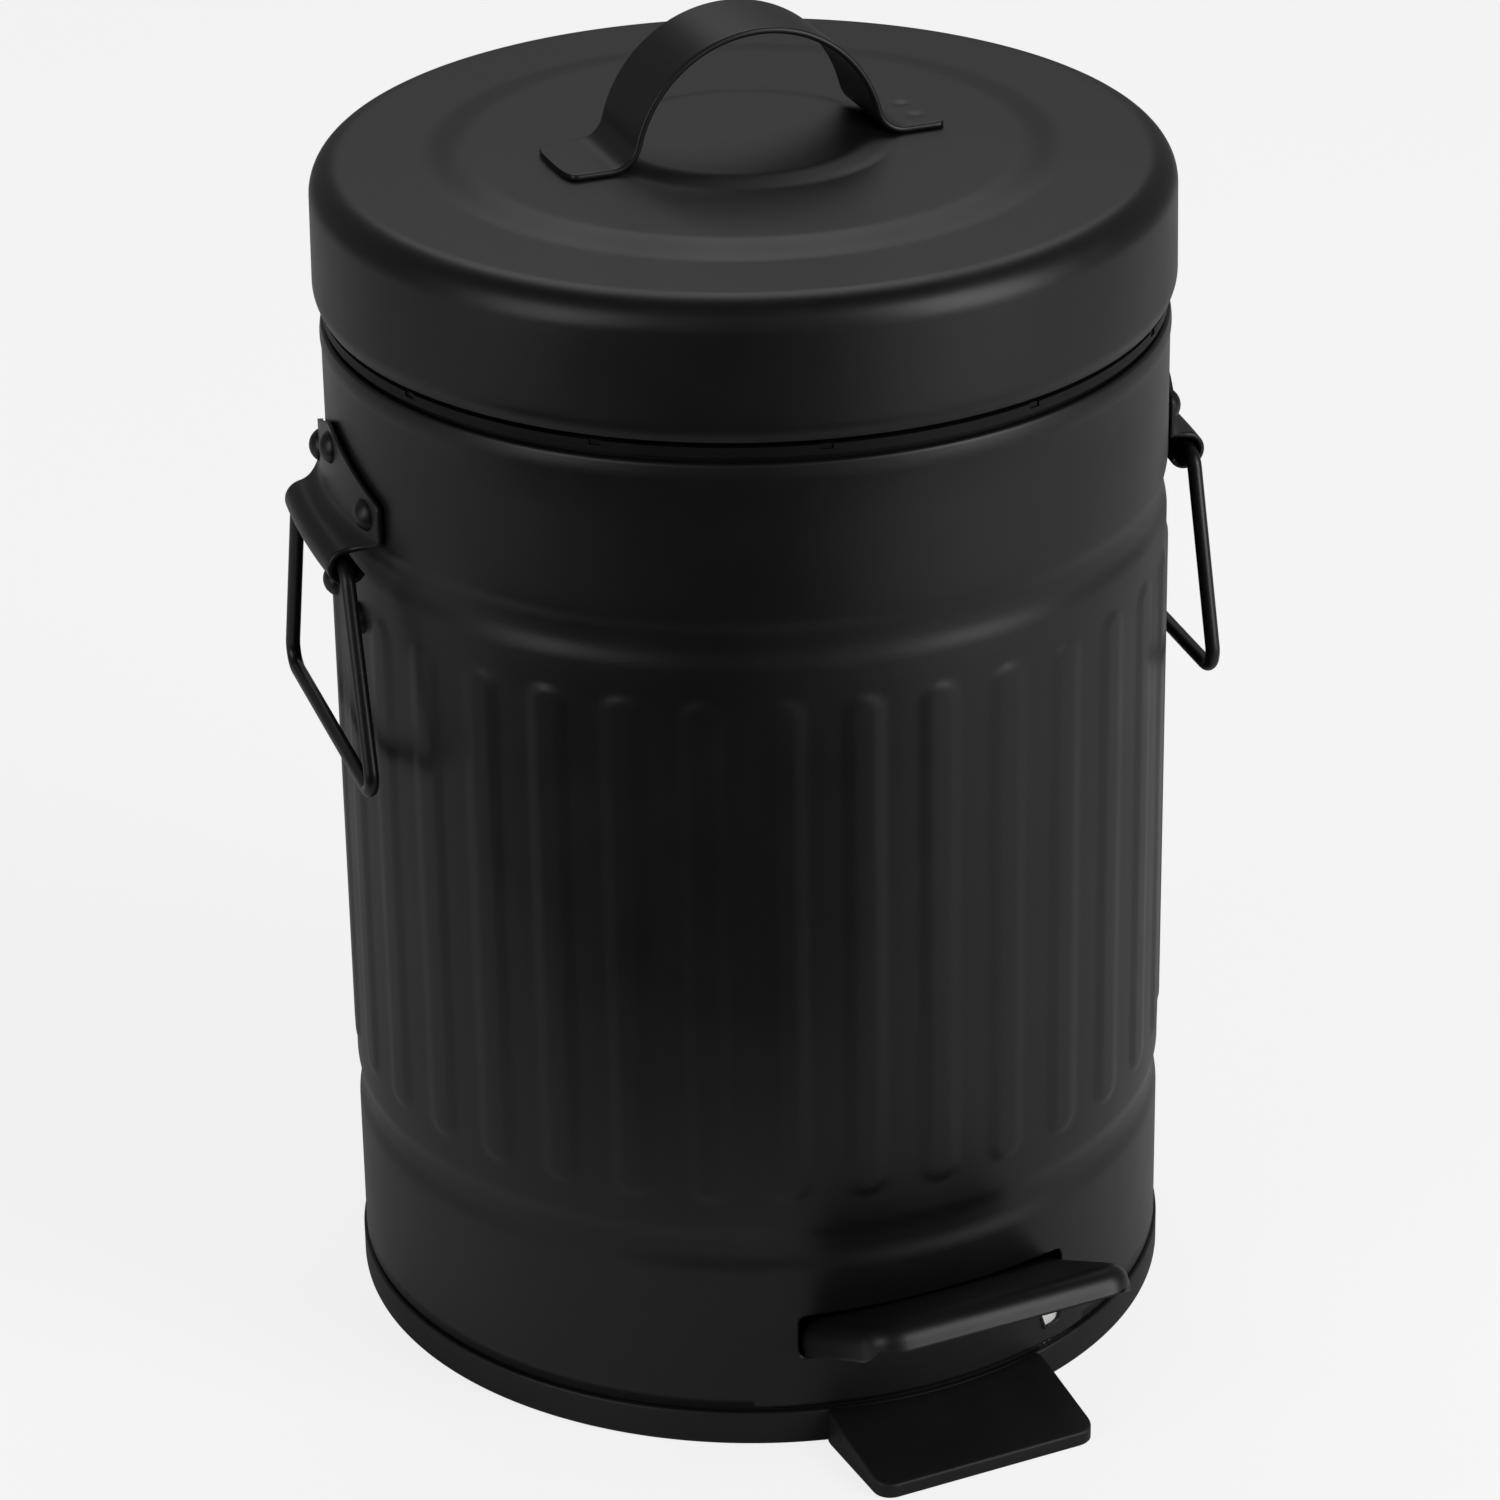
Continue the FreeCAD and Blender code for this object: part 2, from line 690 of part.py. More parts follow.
def tread():
    """Drawn sheet: a plate with a skirt round its front and sides, and a tongue that runs into the drum."""
    t = tread_thickness
    sheet = tread_block(0, tongue_start, -lip_height)
    sheet = sheet.cut(tread_block(t, tongue_start + lip_height, -2 * lip_height))
    tongue = box(-tongue_half_width, tongue_half_width, tongue_start - bend_radius, tread_tail, -t, 0)
    flat = sheet.fuse(tongue).removeSplitter()
    holes = [Part.makeCylinder(pedal_rivet_radius + press_gap, 4 * t, Vec(0, y, -2 * t))
             for y in pedal_rivet_spots()]
    return on_tread(flat.cut(holes))


def lever_line():
    """Middle of the lever in the YZ plane: under the pedal's tail, the axle and the nose."""
    slope = math.radians(tread_slope)
    depth = tread_thickness + lever_thickness / 2
    start = tongue_start + lever_thickness
    head = (-drum_radius + start * math.cos(slope) - depth * math.sin(slope),
            tread_top_z - start * math.sin(slope) - depth * math.cos(slope))
    return head, (axle_y, axle_z), (rod_y, lever_nose_z)


def lever_arm():
    head, axle, nose = lever_line()
    slope = math.radians(tread_slope)
    run = tread_tail - tongue_start
    tail = (head[0] + run * math.cos(slope), head[1] - run * math.sin(slope))
    width = lever_half_width
    spans = ((head, tail), (tail, axle), (axle, nose))
    runs = [strip(a, b, lever_thickness, width) for a, b in spans]
    hub = round_bar(axle_y, axle_z, hub_radius, width)
    tip = round_bar(rod_y, lever_nose_z, lever_nose_radius, width)
    arm = runs[0].fuse(runs[1:] + [hub, tip]).removeSplitter()
    bore = round_bar(axle_y, axle_z, axle_radius + running_gap, width)
    depth = tread_thickness + lever_thickness
    holes = [on_tread(Part.makeCylinder(pedal_rivet_radius + press_gap, 3 * depth, Vec(0, y, -2 * depth)))
             for y in pedal_rivet_spots()]
    return arm.cut([bore] + holes)


def pedal_rivets():
    depth = tread_thickness + lever_thickness
    rivets = [on_tread(dome_rivet(Vec(0, y, 0), AXIS_Z, pedal_rivet_radius, pedal_rivet_head,
                                  pedal_rivet_head_height, depth)) for y in pedal_rivet_spots()]
    return Part.makeCompound(rivets)


def slot_guide():
    """Nylon pad against the drum's wall, a little of it in the slot's lower right corner."""
    outer = drum_inner - seat_gap
    ring = tube(outer - slot_guide_thickness, outer, base_height + seat_gap, slot_bottom + slot_guide_rise)
    near = slot_half_width - slot_guide_inset
    far = slot_half_width + slot_guide_margin
    return ring.common(box(near, far, -drum_radius, -drum_radius / 2, 0, drum_top))


def side_bracket(side):
    """Plate with ears and a pressed barrel for the bail's wire, made at the front and turned."""
    outline = [(0, plate_top), (plate_half_width, ear_top), (plate_half_width, ear_bottom),
               (barrel_half_length, barrel_z)]
    face = profile(*outline, *[(-x, z) for x, z in outline[:0:-1]])
    face.translate(Vec(0, -drum_radius * 2, 0))
    prism = face.extrude(Vec(0, drum_radius * 2, 0))
    plate = tube(plate_inner, plate_outer, barrel_z, plate_top).common(prism)
    rise = barrel_radius + barrel_fillet
    reach = plate_outer + barrel_fillet - bail_radius
    climb = math.sqrt(rise ** 2 - reach ** 2)
    lean = math.atan2(climb, reach)
    touch = (bail_radius + barrel_radius * math.cos(lean), barrel_z + barrel_radius * math.sin(lean))
    centre = (plate_outer + barrel_fillet, barrel_z + climb)
    turn = math.pi + lean / 2
    middle = (centre[0] + barrel_fillet * math.cos(turn), centre[1] + barrel_fillet * math.sin(turn))
    nose = arc_point((bail_radius, barrel_z), barrel_radius, (math.degrees(lean) - 90) / 2)
    section = profile((-plate_inner, barrel_z + climb), (-plate_outer, barrel_z + climb),
                      ((-middle[0], middle[1]), (-touch[0], touch[1])),
                      ((-nose[0], nose[1]), (-bail_radius, barrel_z - barrel_radius)),
                      (-plate_inner, barrel_z - barrel_radius))
    barrel = wide(section, barrel_half_length).cut(Part.makeCylinder(plate_inner, drum_top))
    solid = plate.fuse(barrel).removeSplitter()
    cuts = [round_bar(-bail_radius, barrel_z, bail_bore, plate_half_width)]
    mouth_x = barrel_half_length - barrel_mouth_depth
    cuts += [Part.makeCylinder(barrel_mouth_radius, plate_half_width, Vec(s * mouth_x, -bail_radius, barrel_z),
                               AXIS_X * s) for s in (-1, 1)]
    solid = to_side(solid.cut(cuts), side + bracket_clocking)
    return solid.cut(side_rivet_holes(side))


def side_rivets(side):
    rivets = []
    for a, seat, z in side_rivet_places(side):
        out = side_direction(a)
        base = out * seat + Vec(0, 0, z)
        rivets.append(dome_rivet(base, out, side_rivet_radius, side_rivet_head, side_rivet_head_height,
                                 seat - drum_inner))
    return Part.makeCompound(rivets)


def bent_wire(points, bend, radius):
    """Round wire along straight runs joined by tangent arcs."""
    edges = []
    at = points[0]
    for before, corner, after in zip(points, points[1:], points[2:]):
        back = (before - corner).normalize()
        on = (after - corner).normalize()
        half = back.getAngle(on) / 2
        cut = bend / math.tan(half)
        start = corner + back * cut
        end = corner + on * cut
        inward = (back + on).normalize()
        middle = corner + inward * (bend / math.sin(half) - bend)
        edges.append(Part.makeLine(at, start))
        edges.append(Part.Arc(start, middle, end).toShape())
        at = end
    edges.append(Part.makeLine(at, points[-1]))
    path = Part.Wire(edges)
    first = (points[1] - points[0]).normalize()
    ring = Part.Wire(Part.makeCircle(radius, points[0], first))
    return path.makePipeShell([ring], True, False)


def side_bail(side):
    """Wire loop that hangs from the barrel, wider at the bottom, closed inside the barrel."""
    low = barrel_z - bail_drop
    y = -bail_radius
    corners = ((0, barrel_z), (bail_top_half, barrel_z), (bail_bottom_half, low), (-bail_bottom_half, low),
               (-bail_top_half, barrel_z), (0, barrel_z))
    points = [Vec(x, y, z) for x, z in corners]
    return to_side(bent_wire(points, bail_bend_radius, bail_wire_radius), side + bracket_clocking)


def inner_bucket():
    """Plastic pail that hangs by its flange on the ledge of the rim collar."""
    low = bucket_bottom
    flange = pail_seat
    top = collar_top
    wall = bucket_wall
    pail = spin(profile(
        (0, low), (bucket_bottom_radius, low), (bucket_top_radius, flange), (bucket_flange_radius, flange),
        (bucket_flange_radius, top), (bucket_top_radius - wall, top),
        (bucket_bottom_radius - wall, low + bucket_floor), (0, low + bucket_floor)))
    span = bucket_flange_radius
    rear = box(-span, span, bucket_rear_flat, bucket_flange_radius * 2, flange, top)
    pin_hole = round_bar(0, bucket_bail_z, bucket_bail_wire + running_gap, bucket_flange_radius)
    return pail.cut([rear, pin_hole])


def bucket_bail():
    """Half hoop of wire folded down inside the pail's mouth, with a pin through each wall."""
    radius = bucket_top_radius - bucket_wall - bucket_bail_gap
    z = bucket_bail_z
    wire = bucket_bail_wire
    arc = Part.Arc(Vec(-radius, 0, z), Vec(0, -radius, z), Vec(radius, 0, z)).toShape()
    ring = Part.Wire(Part.makeCircle(wire, Vec(-radius, 0, z), AXIS_Y))
    hoop = Part.Wire(arc).makePipeShell([ring], True, False)
    length = bucket_top_radius + bucket_pin_proud - radius
    pins = [Part.makeCylinder(wire, length, Vec(s * radius, 0, z), AXIS_X * s) for s in (-1, 1)]
    ends = [Part.makeSphere(wire, Vec(s * radius, 0, z)) for s in (-1, 1)]
    return hoop.fuse(pins + ends).removeSplitter()


save("body_shell", body_shell())
save("base_ring", base_ring())
save("rim_ring", rim_ring())
save("lid_shell", lid_shell())
save("lid_handle", lid_handle())
save("lid_hinge_leaf", lid_hinge_leaf())
save("lid_hinge_rivets", rivet_group(leaf_rivet_places(), lid_radius, lid_radius - leaf_inner_y()))
save("hinge_bracket", hinge_bracket())
save("hinge_bracket_rivets", rivet_group(bracket_rivet_places(), drum_radius + seat_gap + bracket_thickness,
                                         seat_gap + bracket_thickness + drum_wall))
save("hinge_pin", round_bar(hinge_y, hinge_z, pin_radius, pin_length / 2))
save("push_rod", push_rod())
save("rod_cap", rod_cap())
save("rod_guides", rod_guides())
save("pedal", tread())
save("pedal_lever", lever_arm())
save("pedal_rivets", pedal_rivets())
save("lever_axle", round_bar(axle_y, axle_z, axle_radius, lever_half_width + moving_gap + post_thickness))
save("slot_guide", slot_guide())
for name, side in (("left", -90), ("right", 90)):
    save(name + "_bracket", side_bracket(side))
    save(name + "_bracket_rivets", side_rivets(side))
    save(name + "_bail", side_bail(side))
save("inner_bucket", inner_bucket())
save("bucket_bail", bucket_bail())
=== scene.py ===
import json
import math
import bmesh
import bpy
import numpy as np
from mathutils import Matrix


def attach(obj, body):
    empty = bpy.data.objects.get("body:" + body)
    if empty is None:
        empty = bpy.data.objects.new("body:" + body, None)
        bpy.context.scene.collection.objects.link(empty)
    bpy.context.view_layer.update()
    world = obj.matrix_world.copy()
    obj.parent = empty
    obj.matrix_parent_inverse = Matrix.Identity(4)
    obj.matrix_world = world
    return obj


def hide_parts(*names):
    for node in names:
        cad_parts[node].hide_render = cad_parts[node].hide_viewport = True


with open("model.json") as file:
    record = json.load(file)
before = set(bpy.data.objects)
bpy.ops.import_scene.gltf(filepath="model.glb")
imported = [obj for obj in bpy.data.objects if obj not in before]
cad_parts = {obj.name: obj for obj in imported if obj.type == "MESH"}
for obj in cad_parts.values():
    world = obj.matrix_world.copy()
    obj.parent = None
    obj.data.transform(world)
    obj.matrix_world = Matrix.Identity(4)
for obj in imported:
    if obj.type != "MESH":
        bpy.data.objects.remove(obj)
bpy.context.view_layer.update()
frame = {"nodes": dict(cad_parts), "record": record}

# All sizes are in millimetres, and z is up from the floor
MM = 0.001

# Drum wall and its rolled top edge
DRUM_RADIUS = 85.0
DRUM_WALL = 0.7
DRUM_BOTTOM = 8.6
DRUM_TOP = 215.8
HEM_HEIGHT = 5.0
HEM_SWELL = 0.25
HEM_WALL = 1.6

# Two rolled grooves; the last five are shares of a groove's half width or depth
GROOVE_HEIGHTS = (45.4, 178.5)
GROOVE_HALF = 5.8
GROOVE_DEPTH = 0.8
GROOVE_ROUND = 0.012
GROOVE_EDGE = 1.06
GROOVE_SIDE = 0.9
GROOVE_CENTRE = 1.15
GROOVE_FADE = 0.3

# Flutes (their sides a share of the half width), the plain band over them and the rear seam
FLUTE_COUNT = 34
FLUTE_HALF = 4.5
FLUTE_HEIGHT = 0.45
FLUTE_SIDE = 0.5
FLUTE_LOW = 56.0
FLUTE_HIGH = 167.5
FLUTE_MIDDLE = (70.0, 155.0)
FLUTE_COLUMNS = 12
BAND_LOW = 188.0
SEAM_HALF = 3.0
SEAM_HEIGHT = 0.4
SEAM_LOW = 51.2
SEAM_SOFT = 1.0

# Pedal slot, and the window of the drum's grid that is remade round it
SLOT_HALF = 31.2
SLOT_LEFT_HALF = 29.3
SLOT_LOW = 12.0
SLOT_LEFT_LOW = 20.0
SLOT_TOP_DROP = 1.4
SLOT_BAND_LOW = 23.6
SLOT_HIGH = 30.9
SLOT_LEG = 6.6
LEG_SLOPE = 3.0
SLOT_CORNER = 2.0
WINDOW_TOP = 36.5
WINDOW_ROWS = 8
WINDOW_COLUMNS = 30
RING_ROWS = 20
RING_FAN = 13

# Base tray, its spigot, the foot and the axle's posts
BASE_RADIUS = 85.6
BASE_HEIGHT = 7.6
BASE_EDGE = 1.0
BASE_RIM_EDGE = 0.6
FLOOR_RING = 60.0
FLOOR_TOP = 3.5
SPIGOT_OUTER = 84.1
SPIGOT_INNER = 82.1
SPIGOT_TOP = 16.0
FRONT_CUT_HALF = 35.4
REAR_CUT_HALF = 8.1
CUT_SOFT = 0.6
CUT_SHARE = 0.97
ROD_RELIEF = 1.4
FOOT_HALF = 24.5
FOOT_REACH = 107.0
FOOT_FRONT = 3.2
FOOT_BACK = 80.0
FOOT_CORNER = 3.6
FOOT_EDGE = 0.55
POST_X = 9.5
POST_HALF = (2.0, 5.0)
POST_CORNER = 0.8
POST_EDGE = 0.4
POST_TOP = 19.5
POST_SINK = 0.5
AXLE_Y = -58.0

# Lid; each flat ring of its top is an outer radius, an inner radius and a count of rows
LID_RADIUS = 86.25
LID_WALL = 0.8
LID_BOTTOM = 220.2
LID_TOP = 248.1
LID_HEM_HEIGHT = 4.0
LID_HEM_INSET = 1.3
LID_TAPER = 0.25
LID_EDGE = 6.5
LID_STEPS = (59.25, 27.0)
STEP_RUNS = (10.0, 6.5)
STEP_RISE = 1.6
LID_FLATS = ((79.0, 66.0, 5), (52.0, 32.0, 7), (22.0, 0.0, 7))
HINGE_GAP_HALF = 7.1
HINGE_GAP_SOFT = 0.7

# Lid strap and its weld marks
STRAP_HALF = 10.0
STRAP_THICKNESS = 1.3
STRAP_LENGTH = 80.5
STRAP_ARCH = 26.0
STRAP_RISE = 24.5
STRAP_BEND = 6.0
STRAP_END = 2.6
STRAP_SOFT = 0.45
STRAP_TURN = math.radians(-4.0)
WELD_X = 35.5
WELD_Y = 3.6
WELD_RADIUS = 1.4
WELD_DEPTH = 0.28

# Pedal; v runs up its slope from the drum's front
TREAD_HALF = 29.6
TREAD_SHIFT = 1.0
TREAD_THICKNESS = 1.2
TREAD_SLOPE = math.radians(26.6)
TREAD_TOP_Z = 30.6
TREAD_REACH = 29.1
TREAD_CORNER = 7.0
TREAD_BACK = 8.0
TREAD_TAIL = 24.0
TONGUE_HALF = 10.0
LIP_HEIGHT = 6.0
LIP_CORNER_RISE = 1.6
FLANGE_HEIGHT = 6.8
TREAD_BEND = 4.0

# Side brackets, their barrels and rivets
BRACKET_TURN = math.radians(-8.0)
PLATE_OUTER = 86.55
PLATE_THICKNESS = 1.0
PLATE_INNER = PLATE_OUTER - PLATE_THICKNESS
PLATE_HALF = 24.8
PLATE_TOP = 201.0
EAR_TOP = 192.2
EAR_BOTTOM = 182.6
EAR_FLARE = 6.0
EAR_ROUND = 0.8
GABLE_TIP = 3.0
GABLE_TIP_DROP = 1.5
GABLE_CROWD = 1.4
TUCK_START = 2.2
TUCK_LENGTH = 3.2
BARREL_Z = 178.0
BARREL_RADIUS = 3.9
BARREL_HALF = 18.7
BARREL_FILLET = 4.0
BARREL_BOW = 0.35
BARREL_END = -150.0
RIVET_HEAD = 3.3
RIVET_TALL = 2.0
RIVET_SINK = 1.5
TOP_RIVET_Z = 196.0
EAR_RIVET_Z = 188.8
EAR_RIVET_OFFSET = 18.6
LOW_RIVET_Z = 163.0
LOW_RIVET_OFFSET = 10.0

# Side bails
BAIL_RADIUS = 88.9
BAIL_WIRE = 1.5
BAIL_TOP_HALF = 20.6
BAIL_LOW_HALF = 35.0
BAIL_DROP = 43.0
BAIL_BEND = 4.0


def smooth(t):
    """Smooth step: 3 t squared less 2 t cubed, held at 0 and 1 outside the range."""
    t = np.clip(t, 0.0, 1.0)
    return t * t * (3.0 - 2.0 * t)


def arc(centre, radius, start, end, count):
    """Points on a circle from one angle to another, in degrees from the first axis."""
    a = np.radians(np.linspace(start, end, count))
    return np.stack([centre[0] + radius * np.cos(a), centre[1] + radius * np.sin(a)], axis=-1)


def grid_quads(rows, columns, wrap):
    """Quads between neighbouring points of a grid; wrap joins the last column to the first."""
    i = np.arange(rows * columns).reshape(rows, columns)
    if wrap:
        i = np.concatenate([i, i[:, :1]], axis=1)
    return np.stack([i[:-1, :-1], i[:-1, 1:], i[1:, 1:], i[1:, :-1]], axis=-1).reshape(-1, 4)


def joined(*surfaces):
    """Several (points, quads) surfaces as one, with the quads renumbered."""
    starts = np.cumsum([0] + [len(points) for points, quads in surfaces[:-1]])
    all_points = np.concatenate([points for points, quads in surfaces])
    return all_points, np.concatenate([quads + start for (points, quads), start in zip(surfaces, starts)])


def lathe(outline, columns):
    """An outline of (radius, height) carried round the axis: x = r sin a, y = -r cos a."""
    a = np.arange(columns) * (2 * np.pi / columns)
    r = outline[:, :1]
    z = np.repeat(outline[:, 1:], columns, axis=1)
    points = np.stack([r * np.sin(a), -r * np.cos(a), z], axis=-1).reshape(-1, 3)
    return points, grid_quads(len(outline), columns, True)


def turned(points, angle):
    """Points turned about the drum's axis by an angle in radians."""
    c, s = math.cos(angle), math.sin(angle)
    return points @ np.array([[c, s, 0.0], [-s, c, 0.0], [0.0, 0.0, 1.0]])


def thick_outline(outline, wall):
    """A closed outline: the outside, then the same line set back by the wall along its normal."""
    run = np.gradient(outline, axis=0)
    run /= np.linalg.norm(run, axis=1, keepdims=True)
    inside = outline - wall * np.stack([run[:, 1], -run[:, 0]], axis=-1)
    inside[:, 0] = np.maximum(inside[:, 0], 0.0)
    inside[-1, 0] = 0.0
    return np.concatenate([outline, inside[::-1], outline[:1]])


def rounded_loop(half_x, half_y, corner, count):
    """Rounded rectangle: four quarter circles of the corner radius, joined by straight sides."""
    quarter = np.linspace(0.0, 90.0, count)
    a = np.radians((quarter[None, :] + 90.0 * np.arange(4)[:, None]))
    cx = (half_x - corner) * np.array([1, -1, -1, 1])[:, None]
    cy = (half_y - corner) * np.array([1, 1, -1, -1])[:, None]
    return np.stack([cx + corner * np.cos(a), cy + corner * np.sin(a)], axis=-1).reshape(-1, 2)


def tube_along(path, normal, radius, sides):
    """Round wire along a closed flat path: each ring lies in the plane of the normal and the side."""
    run = np.roll(path, -1, axis=0) - np.roll(path, 1, axis=0)
    run /= np.linalg.norm(run, axis=1, keepdims=True)
    side = np.cross(run, normal)
    a = np.arange(sides) * (2 * np.pi / sides)
    ring = np.cos(a)[None, :, None] * normal + np.sin(a)[None, :, None] * side[:, None, :]
    points = path[:, None, :] + radius * ring
    closed = np.concatenate([points, points[:1]])
    return closed.reshape(-1, 3), grid_quads(len(closed), sides, True)


def rounded_path(corners, bend, count):
    """A closed flat path through corners, each cut by a tangent arc of the bend radius."""
    before = np.roll(corners, 1, axis=0) - corners
    after = np.roll(corners, -1, axis=0) - corners
    before /= np.linalg.norm(before, axis=1, keepdims=True)
    after /= np.linalg.norm(after, axis=1, keepdims=True)
    half = np.arccos(np.clip(np.sum(before * after, axis=1), -1, 1)) / 2
    middle = before + after
    middle /= np.linalg.norm(middle, axis=1, keepdims=True)
    centre = corners + middle * (bend / np.sin(half))[:, None]
    first = corners + before * (bend / np.tan(half))[:, None] - centre
    last = corners + after * (bend / np.tan(half))[:, None] - centre
    sweep = np.pi - 2 * half
    t = np.linspace(0, 1, count)[None, :, None]
    angle = sweep[:, None, None]
    points = (np.sin((1 - t) * angle) * first[:, None] + np.sin(t * angle) * last[:, None]) / np.sin(angle)
    return (points + centre[:, None]).reshape(-1, corners.shape[1])


def piece(name, surface, body, nodes, closed=True, wall=0.0, crease=35.0):
    """A mesh object from (points, quads) in millimetres, with doubles merged, riding on a body."""
    points, quads = surface
    used, numbers = np.unique(quads, return_inverse=True)
    mesh = bpy.data.meshes.new(name)
    mesh.from_pydata((points[used] * MM).tolist(), [], numbers.reshape(-1, 4).tolist())
    work = bmesh.new()
    work.from_mesh(mesh)
    bmesh.ops.remove_doubles(work, verts=work.verts, dist=2e-6)
    bmesh.ops.dissolve_degenerate(work, edges=work.edges, dist=1e-7)
    if closed:
        bmesh.ops.recalc_face_normals(work, faces=work.faces)
    work.to_mesh(mesh)
    work.free()
    mesh.shade_smooth()
    mesh.set_sharp_from_angle(angle=math.radians(crease))
    obj = bpy.data.objects.new(name, mesh)
    bpy.context.scene.collection.objects.link(obj)
    if wall:
        solid = obj.modifiers.new("wall", "SOLIDIFY")
        solid.thickness = wall * MM
        solid.offset = -1.0
    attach(obj, body)
    if nodes:
        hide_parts(*nodes)
    return obj


def drum_outline():
    """Outline of (radius, height): the plain wall less two soft V grooves, then the rolled top edge."""
    groove = GROOVE_HALF * np.linspace(-1, 1, 19)
    height = np.concatenate([
        np.linspace(DRUM_BOTTOM, WINDOW_TOP, WINDOW_ROWS + 1),
        GROOVE_HEIGHTS[0] + groove,
        np.linspace(FLUTE_LOW - 1, FLUTE_LOW + FLUTE_HALF + 1, 11),
        np.linspace(*FLUTE_MIDDLE, 6),
        np.linspace(FLUTE_HIGH - FLUTE_HALF - 1, FLUTE_HIGH + 1, 11),
        GROOVE_HEIGHTS[1] + groove,
        np.linspace(BAND_LOW, DRUM_TOP - HEM_HEIGHT, 4)])
    radius = np.full_like(height, DRUM_RADIUS)
    for middle in GROOVE_HEIGHTS:
        away = np.abs(height - middle) / GROOVE_HALF
        soft = np.sqrt(away ** 2 + GROOVE_ROUND)
        fade = np.clip(GROOVE_CENTRE - GROOVE_FADE * away, 0, 1)
        radius -= GROOVE_DEPTH * smooth((GROOVE_EDGE - soft) / GROOVE_SIDE) * fade
    t = np.linspace(0, 1, 9)[1:]
    roll = HEM_WALL / 2
    swell_z = DRUM_TOP - HEM_HEIGHT + t * (HEM_HEIGHT - roll)
    swell = np.stack([DRUM_RADIUS + HEM_SWELL * np.sin(np.pi * t), swell_z], axis=-1)
    crown = arc((DRUM_RADIUS - roll, DRUM_TOP - roll), roll, 0, 180, 9)[1:]
    inner = np.array([[DRUM_RADIUS - HEM_WALL, DRUM_TOP - HEM_HEIGHT]])
    return np.concatenate([np.stack([radius, height], axis=-1), swell, crown, inner])


def drum_relief(a, z):
    """Height of the flutes and the rear seam over the wall, for columns of angle a and rows of height z.

    A flute is a flat crest with round ends, whose sides fall in a smooth step. The seam takes the place of
    the flute at the back.
    """
    pitch = 2 * np.pi / FLUTE_COUNT
    nearest = np.round(a / pitch)
    across = (a - nearest * pitch) * DRUM_RADIUS
    beyond = np.maximum(0, np.maximum(FLUTE_LOW + FLUTE_HALF - z, z - FLUTE_HIGH + FLUTE_HALF))
    away = np.sqrt(across ** 2 + beyond ** 2) / FLUTE_HALF
    plain = (nearest % FLUTE_COUNT) != FLUTE_COUNT // 2
    flutes = FLUTE_HEIGHT * smooth((1 - away) / FLUTE_SIDE) * plain
    back = np.abs(a - np.pi) * DRUM_RADIUS
    along = smooth((z - SEAM_LOW) / SEAM_SOFT) * smooth((FLUTE_HIGH - z) / SEAM_SOFT)
    seam = SEAM_HEIGHT * smooth((SEAM_HALF + SEAM_SOFT / 2 - back) / SEAM_SOFT) * along
    return flutes + seam


def slot_edge(u, v, lower):
    """Edge of the pedal slot, from points (u, v) on a rectangle's edge about its middle: x, z and lift.

    The corners are pulled onto quarter circles, the left part is drawn in, and the upper side falls with
    the square of x. lower marks the lower side, which a smooth step lifts between the legs.
    """
    tall = (SLOT_HIGH - SLOT_LOW) / 2
    core_u = np.clip(u, SLOT_CORNER - SLOT_HALF, SLOT_HALF - SLOT_CORNER)
    core_v = np.clip(v, SLOT_CORNER - tall, tall - SLOT_CORNER)
    reach = np.maximum(np.hypot(u - core_u, v - core_v), 1e-9)
    corner = (np.abs(u - core_u) > 1e-9) & (np.abs(v - core_v) > 1e-9)
    pull = np.where(corner, SLOT_CORNER / reach, 1.0)
    x = core_u + (u - core_u) * pull
    x = np.where(x < 0, x * SLOT_LEFT_HALF / SLOT_HALF, x)
    z = (SLOT_LOW + SLOT_HIGH) / 2 + core_v + (v - core_v) * pull
    leg_low = np.where(x < 0, SLOT_LEFT_LOW, SLOT_LOW)
    z = SLOT_HIGH - (SLOT_HIGH - z) * (SLOT_HIGH - leg_low) / (SLOT_HIGH - SLOT_LOW)
    lift = smooth((SLOT_HALF - SLOT_LEG + LEG_SLOPE / 2 - np.abs(x)) / LEG_SLOPE) * lower
    z = z + (SLOT_BAND_LOW - leg_low) * lift
    upper = np.clip((z - SLOT_BAND_LOW) / (SLOT_HIGH - SLOT_BAND_LOW), 0, 1)
    return x, z - SLOT_TOP_DROP * upper * (x / SLOT_HALF) ** 2, lift


def slot_ring(edge_a, edge_z, limit):
    """Rows of points on the wall from the slot's edge out to the edge of the window.

    Heights run evenly, and so do angles. Under the slot's lifted side the angles run as a high power, so
    that the rows drop straight before they spread and leave the legs open.
    """
    u = edge_a / limit * SLOT_HALF
    v = ((edge_z - DRUM_BOTTOM) / (WINDOW_TOP - DRUM_BOTTOM) * 2 - 1) * (SLOT_HIGH - SLOT_LOW) / 2
    slot_x, slot_z, lift = slot_edge(u, v, edge_z < DRUM_BOTTOM + 0.01)
    slot_a = np.arcsin(slot_x / DRUM_RADIUS)
    t = np.linspace(0, 1, RING_ROWS)[:-1, None]
    ring_a = slot_a + (edge_a - slot_a) * t ** (1 + RING_FAN * lift)
    ring_z = slot_z + (edge_z - slot_z) * t
    return np.stack([DRUM_RADIUS * np.sin(ring_a), -DRUM_RADIUS * np.cos(ring_a), ring_z], axis=-1)


